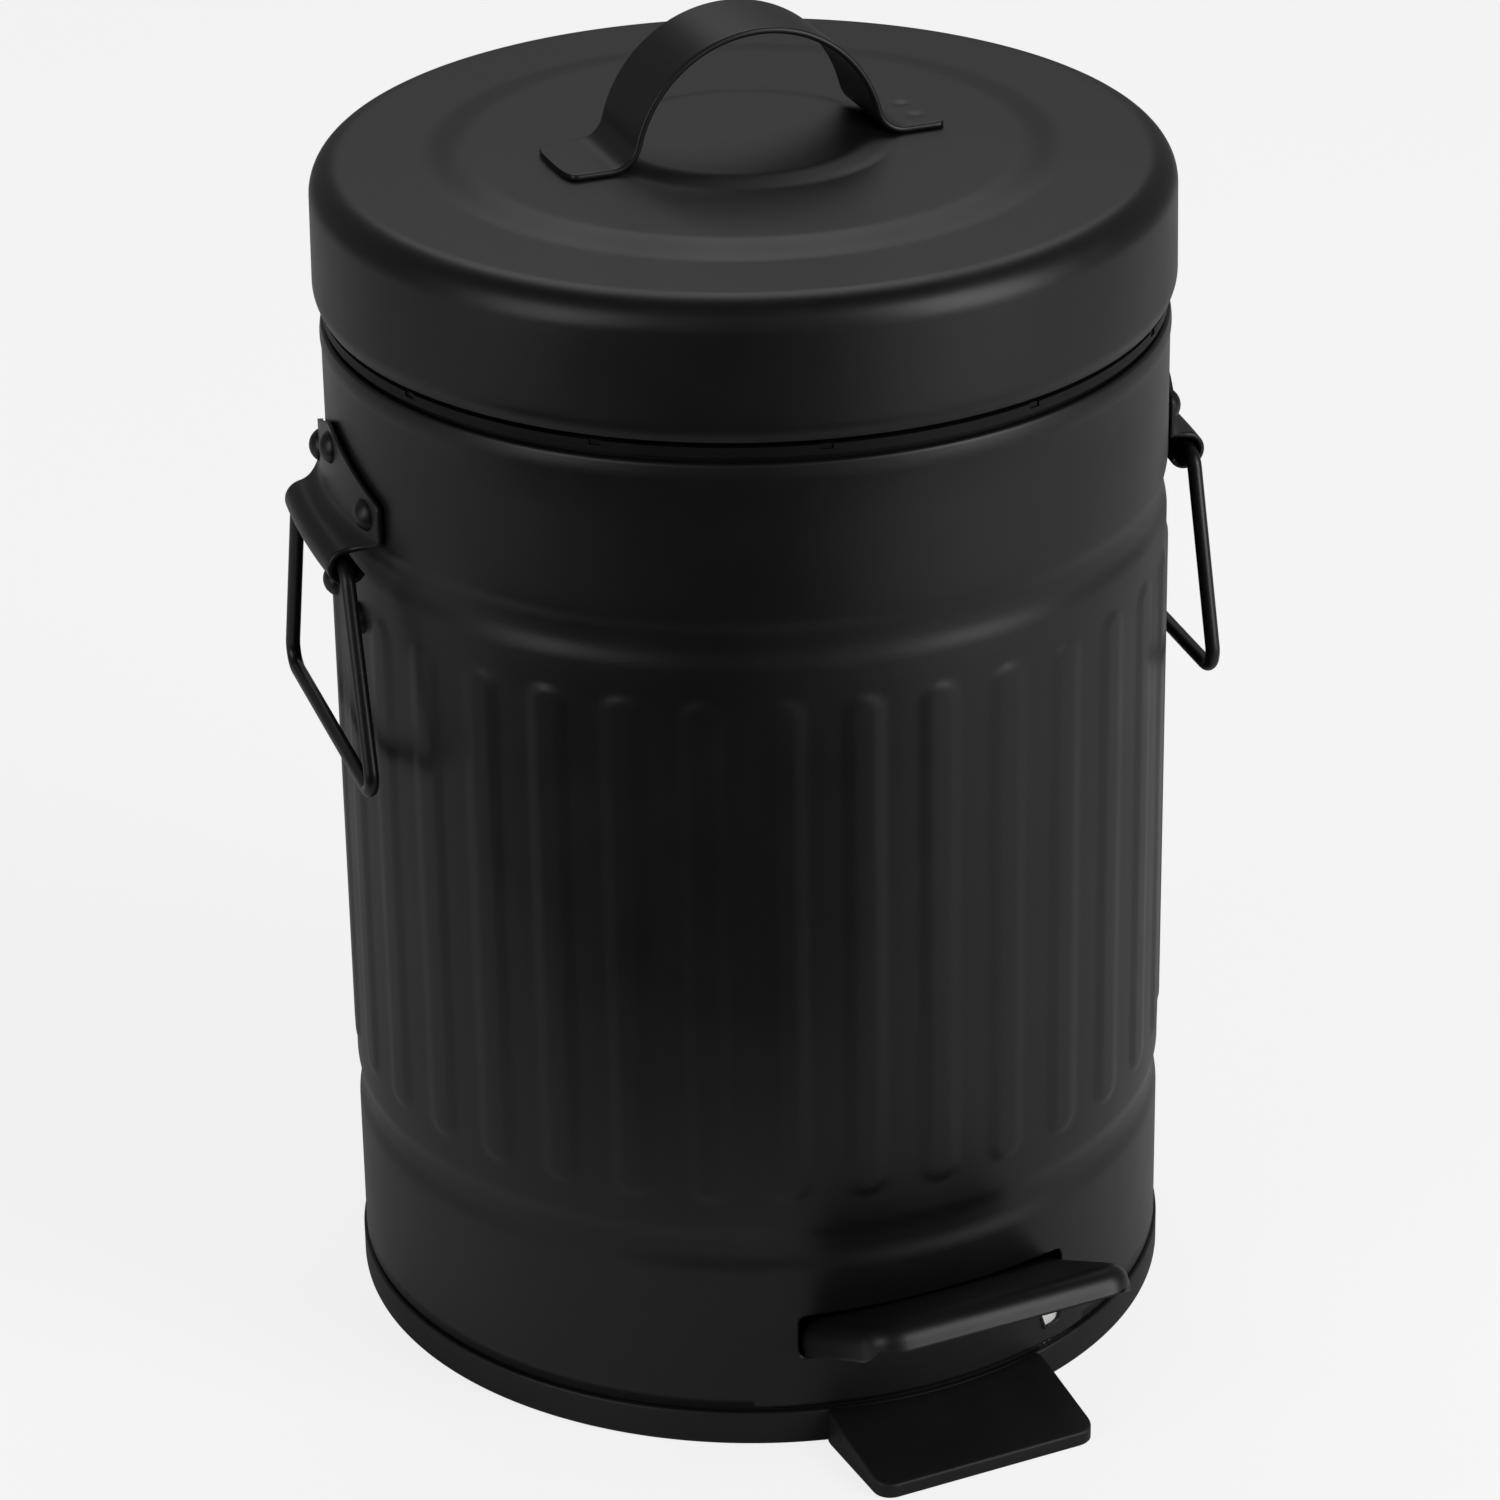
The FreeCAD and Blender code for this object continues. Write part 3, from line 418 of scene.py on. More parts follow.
def drum_surface():
    """Tube of the outline carried round the axis with the relief added to its radius.

    A window of the grid is left out at the front, and a ring of quads fills it up to the pedal slot's edge.
    """
    outline = drum_outline()
    rows = len(outline)
    columns = FLUTE_COUNT * FLUTE_COLUMNS
    a = np.arange(columns) * (2 * np.pi / columns)
    z = np.repeat(outline[:, 1:], columns, axis=1)
    r = outline[:, :1] + drum_relief(a, outline[:, 1:])
    points = np.stack([r * np.sin(a), -r * np.cos(a), z], axis=-1).reshape(-1, 3)
    number = np.arange(rows * columns).reshape(rows, columns)
    half, high = WINDOW_COLUMNS, WINDOW_ROWS
    quad_row = np.repeat(np.arange(rows - 1), columns)
    quad_column = (np.tile(np.arange(columns), rows - 1) + half) % columns
    outside = (quad_row >= high) | (quad_column >= 2 * half)
    around = np.arange(-half, half + 1) % columns
    edge = np.concatenate([number[0, around], number[1:high + 1, around[-1]],
                           number[high, around[::-1]][1:], number[high - 1:0:-1, around[0]]])
    edge_a = np.arctan2(points[edge, 0], -points[edge, 1])
    ring = slot_ring(edge_a, points[edge, 2], half * 2 * np.pi / columns)
    ring_number = rows * columns + np.arange(ring[..., 0].size).reshape(ring.shape[:2])
    ring_number = np.concatenate([ring_number, edge[None, :]])
    ring_quads = ring_number.reshape(-1)[grid_quads(len(ring_number), len(edge), True)[:, ::-1]]
    quads = np.concatenate([grid_quads(rows, columns, True)[outside], ring_quads])
    return np.concatenate([points, ring.reshape(-1, 3)]), quads


def lid_surface():
    """Lathe of a curled hem, a skirt with a slight draw-in, a rounded shoulder and two soft S steps.

    Both faces are one outline, set apart by the sheet's thickness, and the hem opens behind for the hinge.
    """
    t = np.linspace(0, 1, 9)[:-1]
    hem = np.stack([LID_RADIUS - LID_HEM_INSET * (1 - t) ** 2, LID_BOTTOM + LID_HEM_HEIGHT * t], axis=-1)
    shoulder = LID_RADIUS - LID_TAPER
    skirt_z = np.linspace(LID_BOTTOM + LID_HEM_HEIGHT, LID_TOP - LID_EDGE, 8)
    skirt_t = (skirt_z - skirt_z[0]) / (skirt_z[-1] - skirt_z[0])
    skirt = np.stack([LID_RADIUS - LID_TAPER * skirt_t, skirt_z], axis=-1)
    edge = arc((shoulder - LID_EDGE, LID_TOP - LID_EDGE), LID_EDGE, 0, 90, 15)[1:]
    ramp = np.linspace(1, -1, 25)
    outer, inner = [step + run / 2 * ramp for step, run in zip(LID_STEPS, STEP_RUNS)]
    flats = [np.linspace(*flat) for flat in LID_FLATS]
    top_r = np.concatenate([flats[0], outer, flats[1], inner, flats[2]])
    top_z = np.full_like(top_r, LID_TOP)
    for step, run in zip(LID_STEPS, STEP_RUNS):
        top_z += STEP_RISE * smooth((step + run / 2 - top_r) / run)
    outline = np.concatenate([hem, skirt, edge, np.stack([top_r, top_z], axis=-1)])
    points, quads = lathe(thick_outline(outline, LID_WALL), 360)
    gap_top = LID_BOTTOM + LID_HEM_HEIGHT
    behind = smooth((HINGE_GAP_HALF + HINGE_GAP_SOFT - np.abs(points[:, 0])) / HINGE_GAP_SOFT)
    lift = np.maximum(gap_top - points[:, 2], 0) * CUT_SHARE
    points[:, 2] += lift * behind * (points[:, 1] > 0)
    return points, quads


def strap_surface():
    """Flat strip with round edges along a line of two feet, two bends and an arch.

    Its ends are superellipses of power three in plan. Two weld dimples, each a bell curve, lie in the right
    foot.
    """
    half = STRAP_THICKNESS / 2
    foot_z = LID_TOP + STEP_RISE + half
    arch_z = foot_z + STRAP_RISE - STRAP_ARCH
    bend_z = foot_z + STRAP_BEND
    bend_x = math.sqrt((STRAP_ARCH + STRAP_BEND) ** 2 - (bend_z - arch_z) ** 2)
    lean = math.degrees(math.atan2(bend_z - arch_z, bend_x))
    end = STRAP_LENGTH / 2
    t = 1 - np.cos(np.linspace(0, np.pi / 2, 30))
    foot_x = -end + (end - bend_x) * t
    foot = np.stack([foot_x, np.full_like(foot_x, foot_z)], axis=-1)
    bend = arc((-bend_x, bend_z), STRAP_BEND, -90, -lean, 9)[1:]
    arch = arc((0, arch_z), STRAP_ARCH, 180 - lean, 90, 33)[1:]
    left = np.concatenate([foot, bend, arch])
    path = np.concatenate([left, left[-2::-1] * np.array([-1, 1])])
    run = np.gradient(path, axis=0)
    run /= np.linalg.norm(run, axis=1, keepdims=True)
    up = np.stack([-run[:, 1], run[:, 0]], axis=-1)
    inset = np.clip((end - np.abs(path[:, 0])) / STRAP_END, 0, 1)
    wide = STRAP_HALF * (1 - (1 - inset) ** 3) ** (1 / 3)
    soft = STRAP_SOFT / STRAP_HALF
    side = arc((0, 0), 1.0, -90, 90, 9)
    flat = np.linspace(-1, 1, 45)[1:-1]
    loop_y = np.concatenate([1 - soft + soft * side[:, 0], -flat * (1 - soft),
                             -1 + soft - soft * side[:, 0], flat * (1 - soft)])
    loop_h = np.concatenate([side[:, 1], np.ones(len(flat)), -side[:, 1], -np.ones(len(flat))]) * half
    y = wide[:, None] * loop_y
    h = np.repeat(loop_h[None, :], len(path), axis=0)
    x = np.repeat(path[:, :1], len(loop_y), axis=1)
    for spot_y in (-WELD_Y, WELD_Y):
        near = ((x - WELD_X) ** 2 + (y - spot_y) ** 2) / WELD_RADIUS ** 2
        h -= WELD_DEPTH * np.exp(-near) * (h > 0)
    points = np.stack([path[:, :1] + up[:, :1] * h, y, path[:, 1:] + up[:, 1:] * h], axis=-1)
    return turned(points.reshape(-1, 3), STRAP_TURN), grid_quads(len(path), len(loop_y), True)


def soft_block(half_x, half_y, corner, bottom, top_of, edge, middle_y):
    """Block whose plan is a rounded rectangle; insets at the first and last rows round its edges.

    top_of gives the upper face's height from y, and the rows between run from the bottom to it.
    """
    loop = rounded_loop(half_x, half_y, corner, 8)
    t = np.radians(np.linspace(0, 90, 6))
    low_inset = np.concatenate([[half_y / 2, edge], edge * (1 - np.sin(t[1:]))])
    low_rise = np.concatenate([[0, 0], edge * (1 - np.cos(t[1:]))])
    top_inset = low_inset[::-1]
    top_drop = low_rise[::-1]
    inset = np.concatenate([low_inset, top_inset])
    size_x = (half_x - inset) / half_x
    size_y = (half_y - inset) / half_y
    x = loop[None, :, 0] * size_x[:, None]
    y = loop[None, :, 1] * size_y[:, None] + middle_y
    rise = np.concatenate([low_rise, -top_drop])[:, None]
    upper = np.concatenate([np.zeros(len(low_rise)), np.ones(len(top_drop))])[:, None]
    z = bottom + rise + upper * (top_of(y) - bottom)
    rows = np.stack([x, y, z], axis=-1)
    first = np.repeat(rows[:1].mean(axis=1, keepdims=True), rows.shape[1], axis=1)
    last = np.repeat(rows[-1:].mean(axis=1, keepdims=True), rows.shape[1], axis=1)
    rows = np.concatenate([first, rows, last])
    return rows.reshape(-1, 3), grid_quads(len(rows), rows.shape[1], True)


def base_surface():
    """Lathe of the base tray with its spigot, which is cut away at the pedal slot and at the push rod.

    The cuts press the spigot's points down to the tray's rim, with a smooth step at each side.
    """
    rim = BASE_RADIUS - BASE_RIM_EDGE, BASE_HEIGHT - BASE_RIM_EDGE
    outline = np.concatenate([
        [[0, 0], [FLOOR_RING, 0]],
        arc((BASE_RADIUS - BASE_EDGE, BASE_EDGE), BASE_EDGE, -90, 0, 7),
        arc(rim, BASE_RIM_EDGE, 0, 90, 6),
        [[SPIGOT_OUTER, BASE_HEIGHT], [SPIGOT_OUTER, SPIGOT_TOP], [SPIGOT_INNER, SPIGOT_TOP]],
        [[SPIGOT_INNER, FLOOR_TOP], [FLOOR_RING, FLOOR_TOP], [0, FLOOR_TOP]]])
    points, quads = lathe(outline, 360)
    x, y, z = points.T
    front = smooth((FRONT_CUT_HALF - np.abs(x)) / CUT_SOFT) * (y < 0)
    rear = smooth((REAR_CUT_HALF - np.abs(x)) / CUT_SOFT) * (y > 0)
    high = np.maximum(z - BASE_HEIGHT, 0)
    points[:, 2] -= high * np.maximum(front, rear) * CUT_SHARE
    wall = np.abs(np.hypot(x, y) - SPIGOT_INNER) < 0.01
    points[:, :2] *= (1 + (ROD_RELIEF / SPIGOT_INNER) * rear * wall)[:, None]
    return points, quads


def foot_surface():
    """Wedge under the pedal: a rounded block whose top falls evenly from the base's rim to the front."""
    fall = (BASE_HEIGHT - FOOT_FRONT) / (FOOT_REACH - BASE_RADIUS)

    def top_of(y):
        return np.minimum(FOOT_FRONT + (y + FOOT_REACH) * fall, BASE_HEIGHT)

    half_y = (FOOT_REACH - FOOT_BACK) / 2
    middle_y = -(FOOT_REACH + FOOT_BACK) / 2
    return soft_block(FOOT_HALF, half_y, FOOT_CORNER, 0.0, top_of, FOOT_EDGE, middle_y)


def post_surface(side):
    """Upright that carries the pedal's axle: a rounded block with a level top, sunk in the floor."""

    def top_of(y):
        return np.full_like(y, POST_TOP)

    points, quads = soft_block(*POST_HALF, POST_CORNER, FLOOR_TOP - POST_SINK, top_of, POST_EDGE, AXLE_Y)
    return points + np.array([side * POST_X, 0.0, 0.0]), quads


def tread_plan():
    """Rows of the pedal's flat plate: half width, distance v up the slope, and the side's turn there."""
    flat_half = TREAD_HALF - TREAD_BEND
    front = TREAD_BEND - TREAD_REACH
    corner = TREAD_CORNER - TREAD_BEND
    turn = np.radians(np.linspace(0, 90, 9))
    straight = np.linspace(TREAD_BACK, front + corner, 14)[:-1]
    v = np.concatenate([straight, front + corner * (1 - np.sin(turn))])
    half = np.concatenate([np.full_like(straight, flat_half), flat_half - corner * (1 - np.cos(turn))])
    return half, v, np.concatenate([np.zeros_like(straight), turn])


def tread_skirt(half, v, turn, across):
    """Rows from the plate's edge out over a quarter circle and then straight down.

    The edge runs from the back left round the front to the back right, as x, v and the outward direction.
    The depth goes from the flange's to the lip's and is least at the front corners.
    """
    left = np.stack([-half, v, -np.cos(turn), -np.sin(turn)], axis=-1)
    middle = half[-1] * across[1:-1]
    front = np.stack([middle, np.full_like(middle, v[-1]), 0 * middle, np.full_like(middle, -1.0)], axis=-1)
    rim = np.concatenate([left, front, left[::-1] * np.array([-1, 1, -1, 1])])
    roll = np.radians(np.linspace(0, 90, 9))
    fall = np.linspace(0, 1, 5)[1:, None]
    out = np.concatenate([TREAD_BEND * np.sin(roll), np.full(len(fall), TREAD_BEND)])
    facing = rim[:, 3] ** 2
    deep = FLANGE_HEIGHT + (LIP_HEIGHT - FLANGE_HEIGHT) * facing
    deep -= 4 * LIP_CORNER_RISE * facing * (1 - facing)
    rolled = np.repeat(TREAD_BEND * (np.cos(roll[:, None]) - 1), len(rim), axis=1)
    down = np.concatenate([rolled, -TREAD_BEND - (deep - TREAD_BEND) * fall])
    skirt = rim[None, :, :2] + out[:, None, None] * rim[None, :, 2:]
    return np.concatenate([skirt, np.maximum(down, -deep)[:, :, None]], axis=-1)


def tread_surface():
    """Drawn sheet of the pedal: a plate with round front corners, its skirt, and a tongue to the lever.

    It is worked out flat in x, v and height, and then tipped by the slope about the line v = 0 at the drum.
    """
    half, v, turn = tread_plan()
    across = np.linspace(-1, 1, 25)
    plate_x = half[:, None] * across
    plate = np.stack([plate_x, np.repeat(v[:, None], len(across), axis=1), 0 * plate_x], axis=-1)
    tail_v, tail_x = np.meshgrid(np.linspace(TREAD_TAIL, TREAD_BACK, 8),
                                 np.linspace(-TONGUE_HALF, TONGUE_HALF, 9), indexing="ij")
    tail = np.stack([tail_x, tail_v, 0 * tail_x], axis=-1)
    grids = (plate, tread_skirt(half, v, turn, across), tail)
    points, quads = joined(*[(grid.reshape(-1, 3), grid_quads(*grid.shape[:2], False)) for grid in grids])
    c, s = math.cos(TREAD_SLOPE), math.sin(TREAD_SLOPE)
    x, v, w = points.T
    y = -DRUM_RADIUS + v * c + w * s
    z = TREAD_TOP_Z - v * s + w * c
    return np.stack([x + TREAD_SHIFT, y, z], axis=-1), quads[:, ::-1]


def bracket_surface(side):
    """Sheet bracket: rows down a line that runs flat, out over a fillet and round a rolled barrel.

    Each row is as wide as the gable, the ears or the barrel there. The plate lies on the drum's curve,
    and the barrel keeps only a share of that curve, so that the straight wire can turn in it.
    """
    rise = BARREL_RADIUS + BARREL_FILLET
    reach = PLATE_OUTER + BARREL_FILLET - BAIL_RADIUS
    climb = math.sqrt(rise ** 2 - reach ** 2)
    lean = math.degrees(math.atan2(climb, reach))
    flat_z = PLATE_TOP - (PLATE_TOP - BARREL_Z - climb) * np.linspace(0, 1, 41) ** GABLE_CROWD
    flat = np.stack([np.full_like(flat_z, PLATE_OUTER), flat_z], axis=-1)
    fillet = arc((PLATE_OUTER + BARREL_FILLET, BARREL_Z + climb), BARREL_FILLET, 180, 180 + lean, 17)[1:]
    nose = arc((BAIL_RADIUS, BARREL_Z), BARREL_RADIUS, lean, BARREL_END, 37)[1:]
    line = np.concatenate([flat, fillet, nose])
    radius, z = line[:, :1], line[:, 1:]
    gable = PLATE_HALF * np.clip((PLATE_TOP - z) / (PLATE_TOP - EAR_TOP), 0, None)
    gable = np.sqrt(gable ** 2 + GABLE_TIP ** 2 * np.clip((PLATE_TOP - z) / GABLE_TIP_DROP, 0, 1))
    ears = np.minimum(gable, PLATE_HALF)
    ears = ears - EAR_ROUND * np.exp(-np.abs(gable - PLATE_HALF) / EAR_ROUND)
    tuck = smooth((EAR_BOTTOM + TUCK_START - z) / TUCK_LENGTH)
    half = np.where(z > EAR_TOP - EAR_FLARE, np.maximum(ears, 0), PLATE_HALF)
    half = half * (1 - tuck) + BARREL_HALF * tuck
    half[:1] = 0.0
    bow = 1 - (1 - BARREL_BOW) * smooth((radius - PLATE_OUTER) / BARREL_RADIUS)
    bow[-len(nose):] = np.minimum(bow[-len(nose):], bow[-len(nose)])
    s = half * np.linspace(-1, 1, 41)
    turn = s / PLATE_OUTER
    x = PLATE_OUTER * np.sin(turn)
    y = bow * PLATE_OUTER * (1 - np.cos(turn)) - radius
    points = np.stack([x, y, np.repeat(z, s.shape[1], axis=1)], axis=-1)
    return turned(points.reshape(-1, 3), side), grid_quads(len(line), s.shape[1], False)[:, ::-1]


def dome_surface(places):
    """Rivet heads: each a sphere's cap on a short upright edge, facing out at its place on the drum."""
    ball = (RIVET_HEAD ** 2 + RIVET_TALL ** 2) / (2 * RIVET_TALL)
    open_angle = math.degrees(math.asin(RIVET_HEAD / ball))
    cap = arc((0, RIVET_TALL - ball), ball, 90 - open_angle, 90, 8)
    outline = np.concatenate([[[0, -RIVET_SINK], [RIVET_HEAD, -RIVET_SINK]], cap])
    points, quads = lathe(outline, 28)
    up = np.array([0.0, 0.0, 1.0])
    heads = []
    for azimuth, seat, z in places:
        c, s = math.cos(azimuth), math.sin(azimuth)
        out = np.array([s, -c, 0.0])
        across = np.array([c, s, 0.0])
        moved = out * (seat + points[:, 2:]) + across * points[:, :1] + up * (z + points[:, 1:2])
        heads.append((moved, quads))
    return joined(*heads)


def bail_surface(side):
    """Wire loop: round wire along a trapezium with round corners, hung from the barrel's middle line."""
    low = BARREL_Z - BAIL_DROP
    corners = np.array([[BAIL_TOP_HALF, BARREL_Z], [BAIL_LOW_HALF, low],
                        [-BAIL_LOW_HALF, low], [-BAIL_TOP_HALF, BARREL_Z]])
    flat = rounded_path(corners, BAIL_BEND, 12)
    path = np.stack([flat[:, 0], np.full(len(flat), -BAIL_RADIUS), flat[:, 1]], axis=-1)
    points, quads = tube_along(path, np.array([0.0, -1.0, 0.0]), BAIL_WIRE, 20)
    return turned(points, side), quads


# Finishes


def coat(name, dark, light, rough, grain, grain_depth, specular):
    """Painted or moulded finish: two close tones in a cloudy noise, uneven gloss and a fine even grain."""
    material = bpy.data.materials.new(name)
    material.use_nodes = True
    nodes = material.node_tree.nodes
    links = material.node_tree.links
    shader = nodes["Principled BSDF"]
    shader.inputs["Specular IOR Level"].default_value = specular
    place = nodes.new("ShaderNodeTexCoord")
    cloud = nodes.new("ShaderNodeTexNoise")
    cloud.inputs["Scale"].default_value = 38.0
    cloud.inputs["Detail"].default_value = 5.0
    links.new(place.outputs["Object"], cloud.inputs["Vector"])
    tone = nodes.new("ShaderNodeValToRGB")
    tone.color_ramp.elements[0].position = 0.35
    tone.color_ramp.elements[0].color = dark + (1.0,)
    tone.color_ramp.elements[1].position = 0.7
    tone.color_ramp.elements[1].color = light + (1.0,)
    links.new(cloud.outputs["Fac"], tone.inputs["Fac"])
    links.new(tone.outputs["Color"], shader.inputs["Base Color"])
    gloss = nodes.new("ShaderNodeMapRange")
    gloss.inputs["From Min"].default_value = 0.3
    gloss.inputs["From Max"].default_value = 0.7
    gloss.inputs["To Min"].default_value = rough - 0.03
    gloss.inputs["To Max"].default_value = rough + 0.03
    links.new(cloud.outputs["Fac"], gloss.inputs["Value"])
    links.new(gloss.outputs["Result"], shader.inputs["Roughness"])
    fine = nodes.new("ShaderNodeTexNoise")
    fine.inputs["Scale"].default_value = grain
    fine.inputs["Detail"].default_value = 3.0
    links.new(place.outputs["Object"], fine.inputs["Vector"])
    bump = nodes.new("ShaderNodeBump")
    bump.inputs["Strength"].default_value = 0.5
    bump.inputs["Distance"].default_value = grain_depth
    links.new(fine.outputs["Fac"], bump.inputs["Height"])
    links.new(bump.outputs["Normal"], shader.inputs["Normal"])
    return material


def plated_steel(name, dark, light, rough):
    """Plated steel: the coat's clouded tone, uneven gloss and very fine grain on a metal shader."""
    material = coat(name, dark, light, rough, 900.0, 0.00002, 0.5)
    nodes = material.node_tree.nodes
    nodes["Principled BSDF"].inputs["Metallic"].default_value = 1.0
    return material


powder = coat("powder_coat", (0.0041, 0.0037, 0.0037), (0.0053, 0.0048, 0.0048), 0.40, 1500.0, 0.00003, 0.3)
wire_paint = coat("wire_paint", (0.004, 0.004, 0.0041), (0.005, 0.005, 0.0051), 0.36, 1300.0, 0.00003, 0.3)
tray = coat("moulded_black", (0.004, 0.004, 0.0041), (0.006, 0.006, 0.0061), 0.5, 1100.0, 0.00006, 0.25)
collar = coat("collar_plastic", (0.003, 0.003, 0.003), (0.005, 0.005, 0.005), 0.5, 900.0, 0.00003, 0.12)
pail = coat("pail_plastic", (0.020, 0.020, 0.021), (0.028, 0.028, 0.029), 0.45, 800.0, 0.00003, 0.35)
nylon = coat("pale_nylon", (0.56, 0.56, 0.54), (0.64, 0.64, 0.62), 0.45, 700.0, 0.00003, 0.4)
steel = plated_steel("zinc_steel", (0.46, 0.46, 0.47), (0.58, 0.58, 0.59), 0.32)
finish_of_slot = {
    "black_coat": powder,
    "black_wire": wire_paint,
    "base_plastic": tray,
    "collar_plastic": collar,
    "nylon": nylon,
    "bright_steel": steel,
    "pail_plastic": pail,
}


def dress(obj, material):
    """Gives an object one material on all its faces."""
    obj.data.materials.clear()
    obj.data.materials.append(material)


for part in frame["record"]["subparts"]:
    dress(frame["nodes"][part["node"]], finish_of_slot[part["material_slot"]])

# Pieces
drum = piece("drum_wall", drum_surface(), "drum", ["body_shell"],
             closed=False, wall=DRUM_WALL)
dress(drum, powder)
dress(piece("lid_cap", lid_surface(), "lid", ["lid_shell"]), powder)
dress(piece("lid_strap", strap_surface(), "lid", ["lid_handle"]), powder)
base_parts = joined(base_surface(), foot_surface(), post_surface(-1), post_surface(1))
dress(piece("base_tray", base_parts, "drum", ["base_ring"]), tray)
tread = piece("foot_pedal", tread_surface(), "treadle", ["pedal"],
              closed=False, wall=TREAD_THICKNESS)
dress(tread, powder)
ear_turn = EAR_RIVET_OFFSET / DRUM_RADIUS
low_turn = LOW_RIVET_OFFSET / DRUM_RADIUS
for side_name, quarter in (("left", -math.pi / 2), ("right", math.pi / 2)):
    side = quarter + BRACKET_TURN
    plate = piece(side_name + "_plate", bracket_surface(side), "drum", [side_name + "_bracket"],
                  closed=False, wall=PLATE_THICKNESS)
    dress(plate, powder)
    places = [(side, PLATE_OUTER, TOP_RIVET_Z)]
    places += [(side + a, PLATE_OUTER, EAR_RIVET_Z) for a in (-ear_turn, ear_turn)]
    places += [(side + a, PLATE_INNER, LOW_RIVET_Z) for a in (-low_turn, low_turn)]
    heads = piece(side_name + "_rivets", dome_surface(places), "drum", [side_name + "_bracket_rivets"])
    dress(heads, powder)
    loop = piece(side_name + "_wire", bail_surface(side), "bail_" + side_name, [side_name + "_bail"])
    dress(loop, wire_paint)


# Studio
STAGE_RINGS = (0.0, 400.0, 6000.0)
STAGE_GREY = (0.75, 0.75, 0.75, 1.0)
STAGE_WHITE_SHARE = 0.82
ROOM_LIGHT = 0.17
CARD_BLACK = (0.004, 0.004, 0.004, 1.0)
CAMERA_AZIMUTH = math.radians(-25.2)
CAMERA_PITCH = math.radians(25.866)
CAMERA_ROLL = math.radians(-0.933)
CAMERA_DISTANCE = 1.0335
CAMERA_HEIGHT = 0.616
CAMERA_LENS = 132.4
CAMERA_SHIFT = (-0.0017, 0.002)


def studio_floor():
    """Wide plain disc; seen by the camera it is mostly its own white, so only a soft shadow shows on it."""
    outline = np.stack([STAGE_RINGS, np.zeros(len(STAGE_RINGS))], axis=-1)
    points, quads = lathe(outline, 96)
    mesh = bpy.data.meshes.new("floor")
    mesh.from_pydata((points * MM).tolist(), [], quads.tolist())
    work = bmesh.new()
    work.from_mesh(mesh)
    bmesh.ops.remove_doubles(work, verts=work.verts, dist=1e-6)
    bmesh.ops.recalc_face_normals(work, faces=work.faces)
    work.to_mesh(mesh)
    work.free()
    floor = bpy.data.objects.new("floor", mesh)
    bpy.context.scene.collection.objects.link(floor)
    material = bpy.data.materials.new("floor_white")
    material.use_nodes = True
    nodes = material.node_tree.nodes
    links = material.node_tree.links
    nodes["Principled BSDF"].inputs["Base Color"].default_value = STAGE_GREY
    nodes["Principled BSDF"].inputs["Roughness"].default_value = 0.9
    nodes["Principled BSDF"].inputs["Specular IOR Level"].default_value = 0.0
    glow = nodes.new("ShaderNodeEmission")
    mix = nodes.new("ShaderNodeMixShader")
    links.new(seen_share(nodes, links, STAGE_WHITE_SHARE), mix.inputs["Fac"])
    links.new(nodes["Principled BSDF"].outputs["BSDF"], mix.inputs[1])
    links.new(glow.outputs["Emission"], mix.inputs[2])
    links.new(mix.outputs["Shader"], nodes["Material Output"].inputs["Surface"])
    floor.data.materials.append(material)


def seen_share(nodes, links, share):
    """The share where a camera or transmission ray meets the surface, and 0 for other rays."""
    path = nodes.new("ShaderNodeLightPath")
    either = nodes.new("ShaderNodeMath")
    either.operation = "MAXIMUM"
    links.new(path.outputs["Is Camera Ray"], either.inputs[0])
    links.new(path.outputs["Is Transmission Ray"], either.inputs[1])
    scale = nodes.new("ShaderNodeMath")
    scale.operation = "MULTIPLY"
    scale.inputs[1].default_value = share
    links.new(either.outputs["Value"], scale.inputs[0])
    return scale.outputs["Value"]


def studio_world():
    """Even grey light for the room, and white where it is looked at."""
    world = bpy.data.worlds.new("room")
    bpy.context.scene.world = world
    world.use_nodes = True
    nodes = world.node_tree.nodes
    links = world.node_tree.links
    room = nodes["Background"]
    room.inputs["Color"].default_value = (1.0, 1.0, 1.0, 1.0)
    room.inputs["Strength"].default_value = ROOM_LIGHT
    white = nodes.new("ShaderNodeBackground")
    mix = nodes.new("ShaderNodeMixShader")
    links.new(seen_share(nodes, links, 1.0), mix.inputs["Fac"])
    links.new(room.outputs["Background"], mix.inputs[1])
    links.new(white.outputs["Background"], mix.inputs[2])
    links.new(mix.outputs["Shader"], nodes["World Output"].inputs["Surface"])


def aimed(position, target):
    """Matrix at a position whose -Z axis points to a target."""
    away = np.array(position) - np.array(target)
    away = away / np.linalg.norm(away)
    across = np.cross([0.0, 0.0, 1.0], away)
    across = across / np.linalg.norm(across)
    up = np.cross(away, across)
    columns = np.stack([across, up, away, position], axis=-1)
    return Matrix(np.vstack([columns, [0.0, 0.0, 0.0, 1.0]]).tolist())


def softbox(name, position, target, wide, tall, power):
    """Rectangular lamp aimed at a point, in metres."""
    light = bpy.data.lights.new(name, "AREA")
    light.shape = "RECTANGLE"
    light.size = wide
    light.size_y = tall
    light.energy = power
    lamp = bpy.data.objects.new(name, light)
    lamp.matrix_world = aimed(position, target)
    bpy.context.scene.collection.objects.link(lamp)
    return lamp


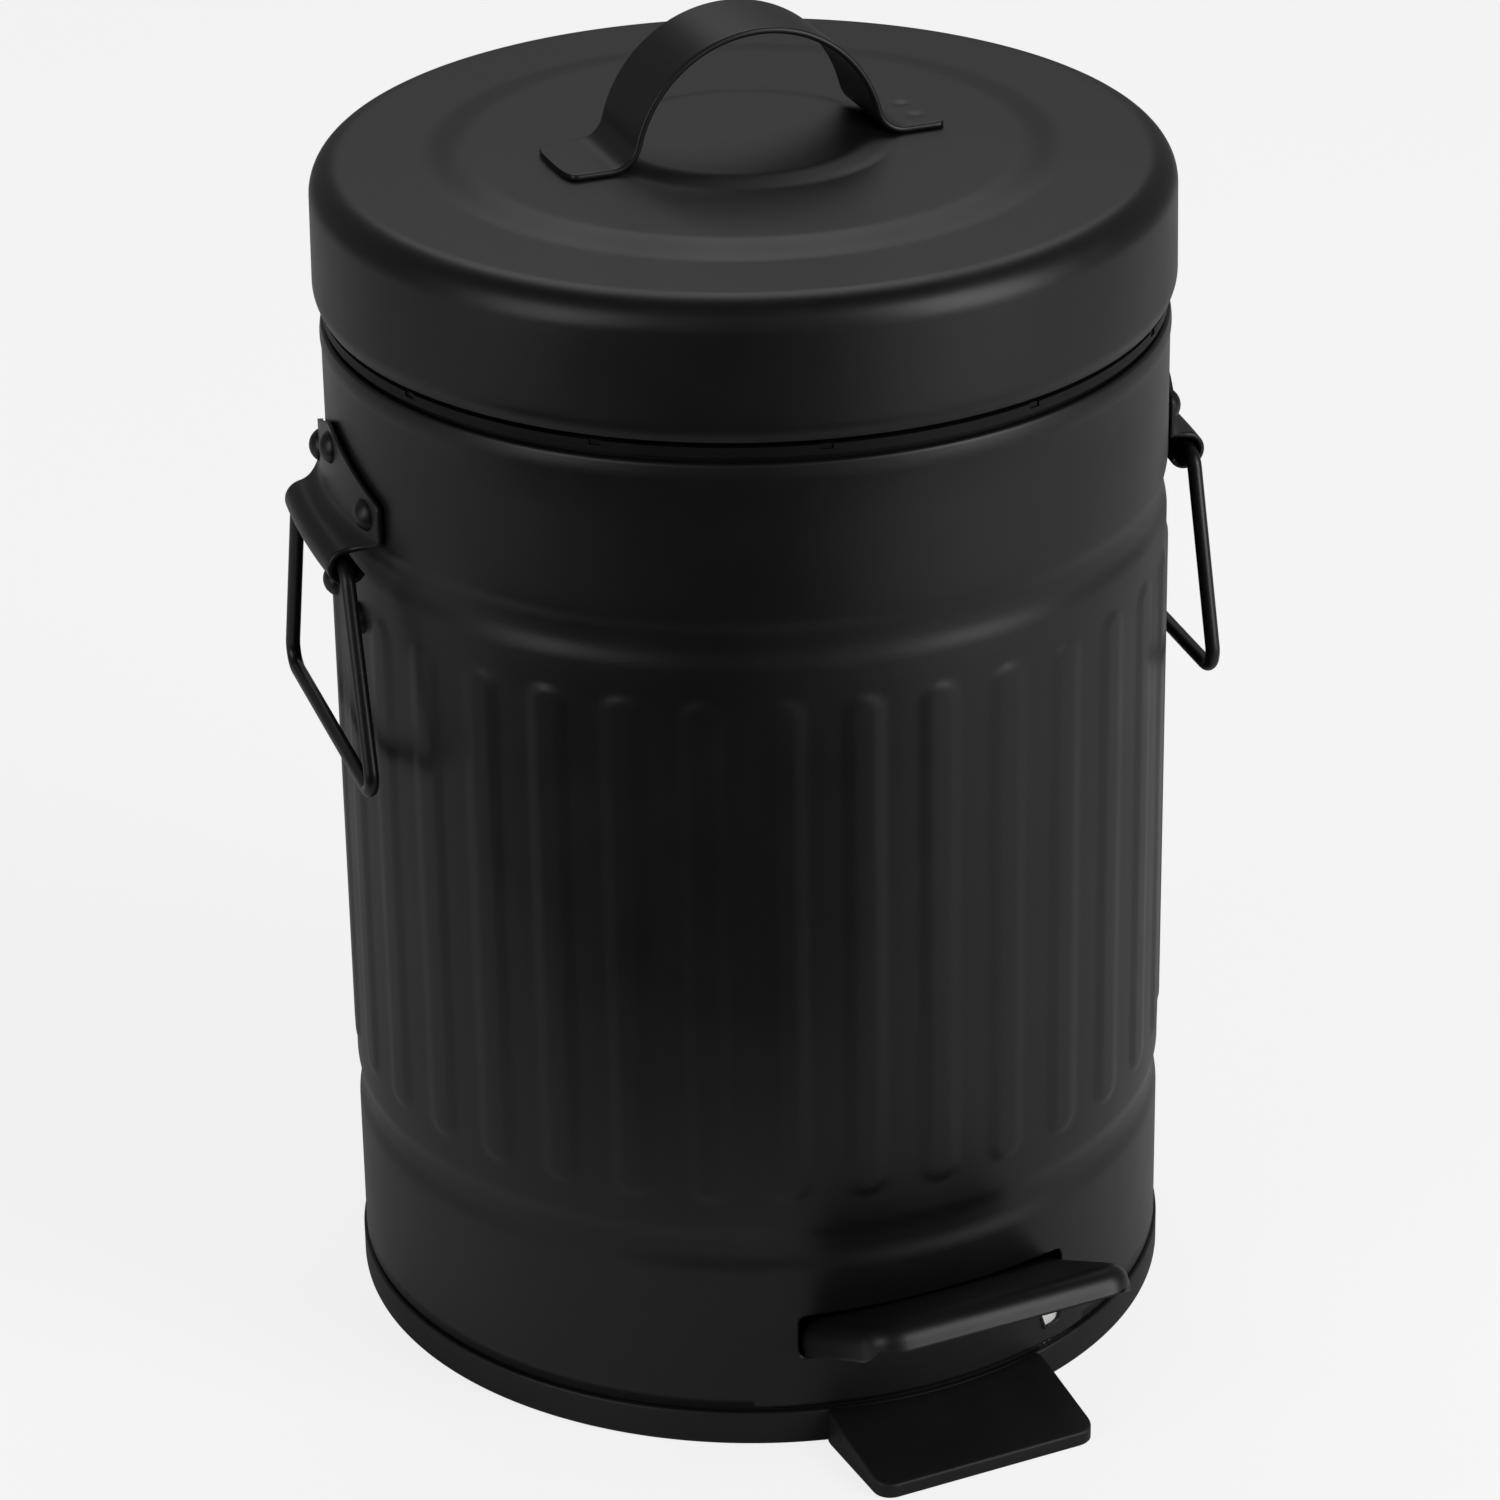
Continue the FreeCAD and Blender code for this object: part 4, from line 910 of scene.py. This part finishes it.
def dark_card(name, position, target, wide, tall):
    """Black card that only reflections see: a flat rectangle aimed at a point."""
    frame_of = np.array(aimed(position, target))
    u = np.array([-0.5, 0.5, 0.5, -0.5]) * wide
    v = np.array([-0.5, -0.5, 0.5, 0.5]) * tall
    points = frame_of[:3, 3] + u[:, None] * frame_of[:3, 0] + v[:, None] * frame_of[:3, 1]
    mesh = bpy.data.meshes.new(name)
    mesh.from_pydata(points.tolist(), [], [(0, 1, 2, 3)])
    card = bpy.data.objects.new(name, mesh)
    bpy.context.scene.collection.objects.link(card)
    material = bpy.data.materials.new(name)
    material.use_nodes = True
    shader = material.node_tree.nodes["Principled BSDF"]
    shader.inputs["Base Color"].default_value = CARD_BLACK
    shader.inputs["Roughness"].default_value = 1.0
    shader.inputs["Specular IOR Level"].default_value = 0.0
    card.data.materials.append(material)
    card.visible_camera = False
    card.visible_diffuse = False
    card.visible_shadow = False


def studio_camera():
    """Camera on the photograph's line of sight: azimuth, pitch and roll about the drum's axis."""
    ahead = np.array([-math.sin(CAMERA_AZIMUTH), math.cos(CAMERA_AZIMUTH), 0.0])
    right = np.array([math.cos(CAMERA_AZIMUTH), math.sin(CAMERA_AZIMUTH), 0.0])
    level = np.array([0.0, 0.0, 1.0])
    view = math.cos(CAMERA_PITCH) * ahead - math.sin(CAMERA_PITCH) * level
    up = math.sin(CAMERA_PITCH) * ahead + math.cos(CAMERA_PITCH) * level
    tilted_right = math.cos(CAMERA_ROLL) * right + math.sin(CAMERA_ROLL) * up
    tilted_up = math.cos(CAMERA_ROLL) * up - math.sin(CAMERA_ROLL) * right
    position = -CAMERA_DISTANCE * ahead + CAMERA_HEIGHT * level
    columns = np.stack([tilted_right, tilted_up, -view, position], axis=-1)
    lens = bpy.data.cameras.new("camera")
    lens.sensor_width = 36.0
    lens.lens = CAMERA_LENS
    lens.shift_x, lens.shift_y = CAMERA_SHIFT
    camera = bpy.data.objects.new("camera", lens)
    camera.matrix_world = Matrix(np.vstack([columns, [0.0, 0.0, 0.0, 1.0]]).tolist())
    bpy.context.scene.collection.objects.link(camera)
    bpy.context.scene.camera = camera


studio_floor()
studio_world()
studio_camera()
middle = (0.0, 0.0, 0.13)
softbox("right_box", (0.8, -1.15, 0.7), middle, 0.8, 1.2, 18.0)
softbox("left_box", (-1.45, -0.38, 0.6), middle, 0.8, 1.2, 9.0)
softbox("back_box", (0.4, 0.85, 1.35), middle, 1.0, 1.0, 5.0)
dark_card("top_card", (0.0, -0.1, 1.6), (0.0, -0.09, 0.0), 1.5, 1.5)
dark_card("front_card", (-0.494, -0.564, 0.27), (-0.237, -0.27, 1.19), 0.55, 1.25)
bpy.context.scene.view_settings.view_transform = "Standard"
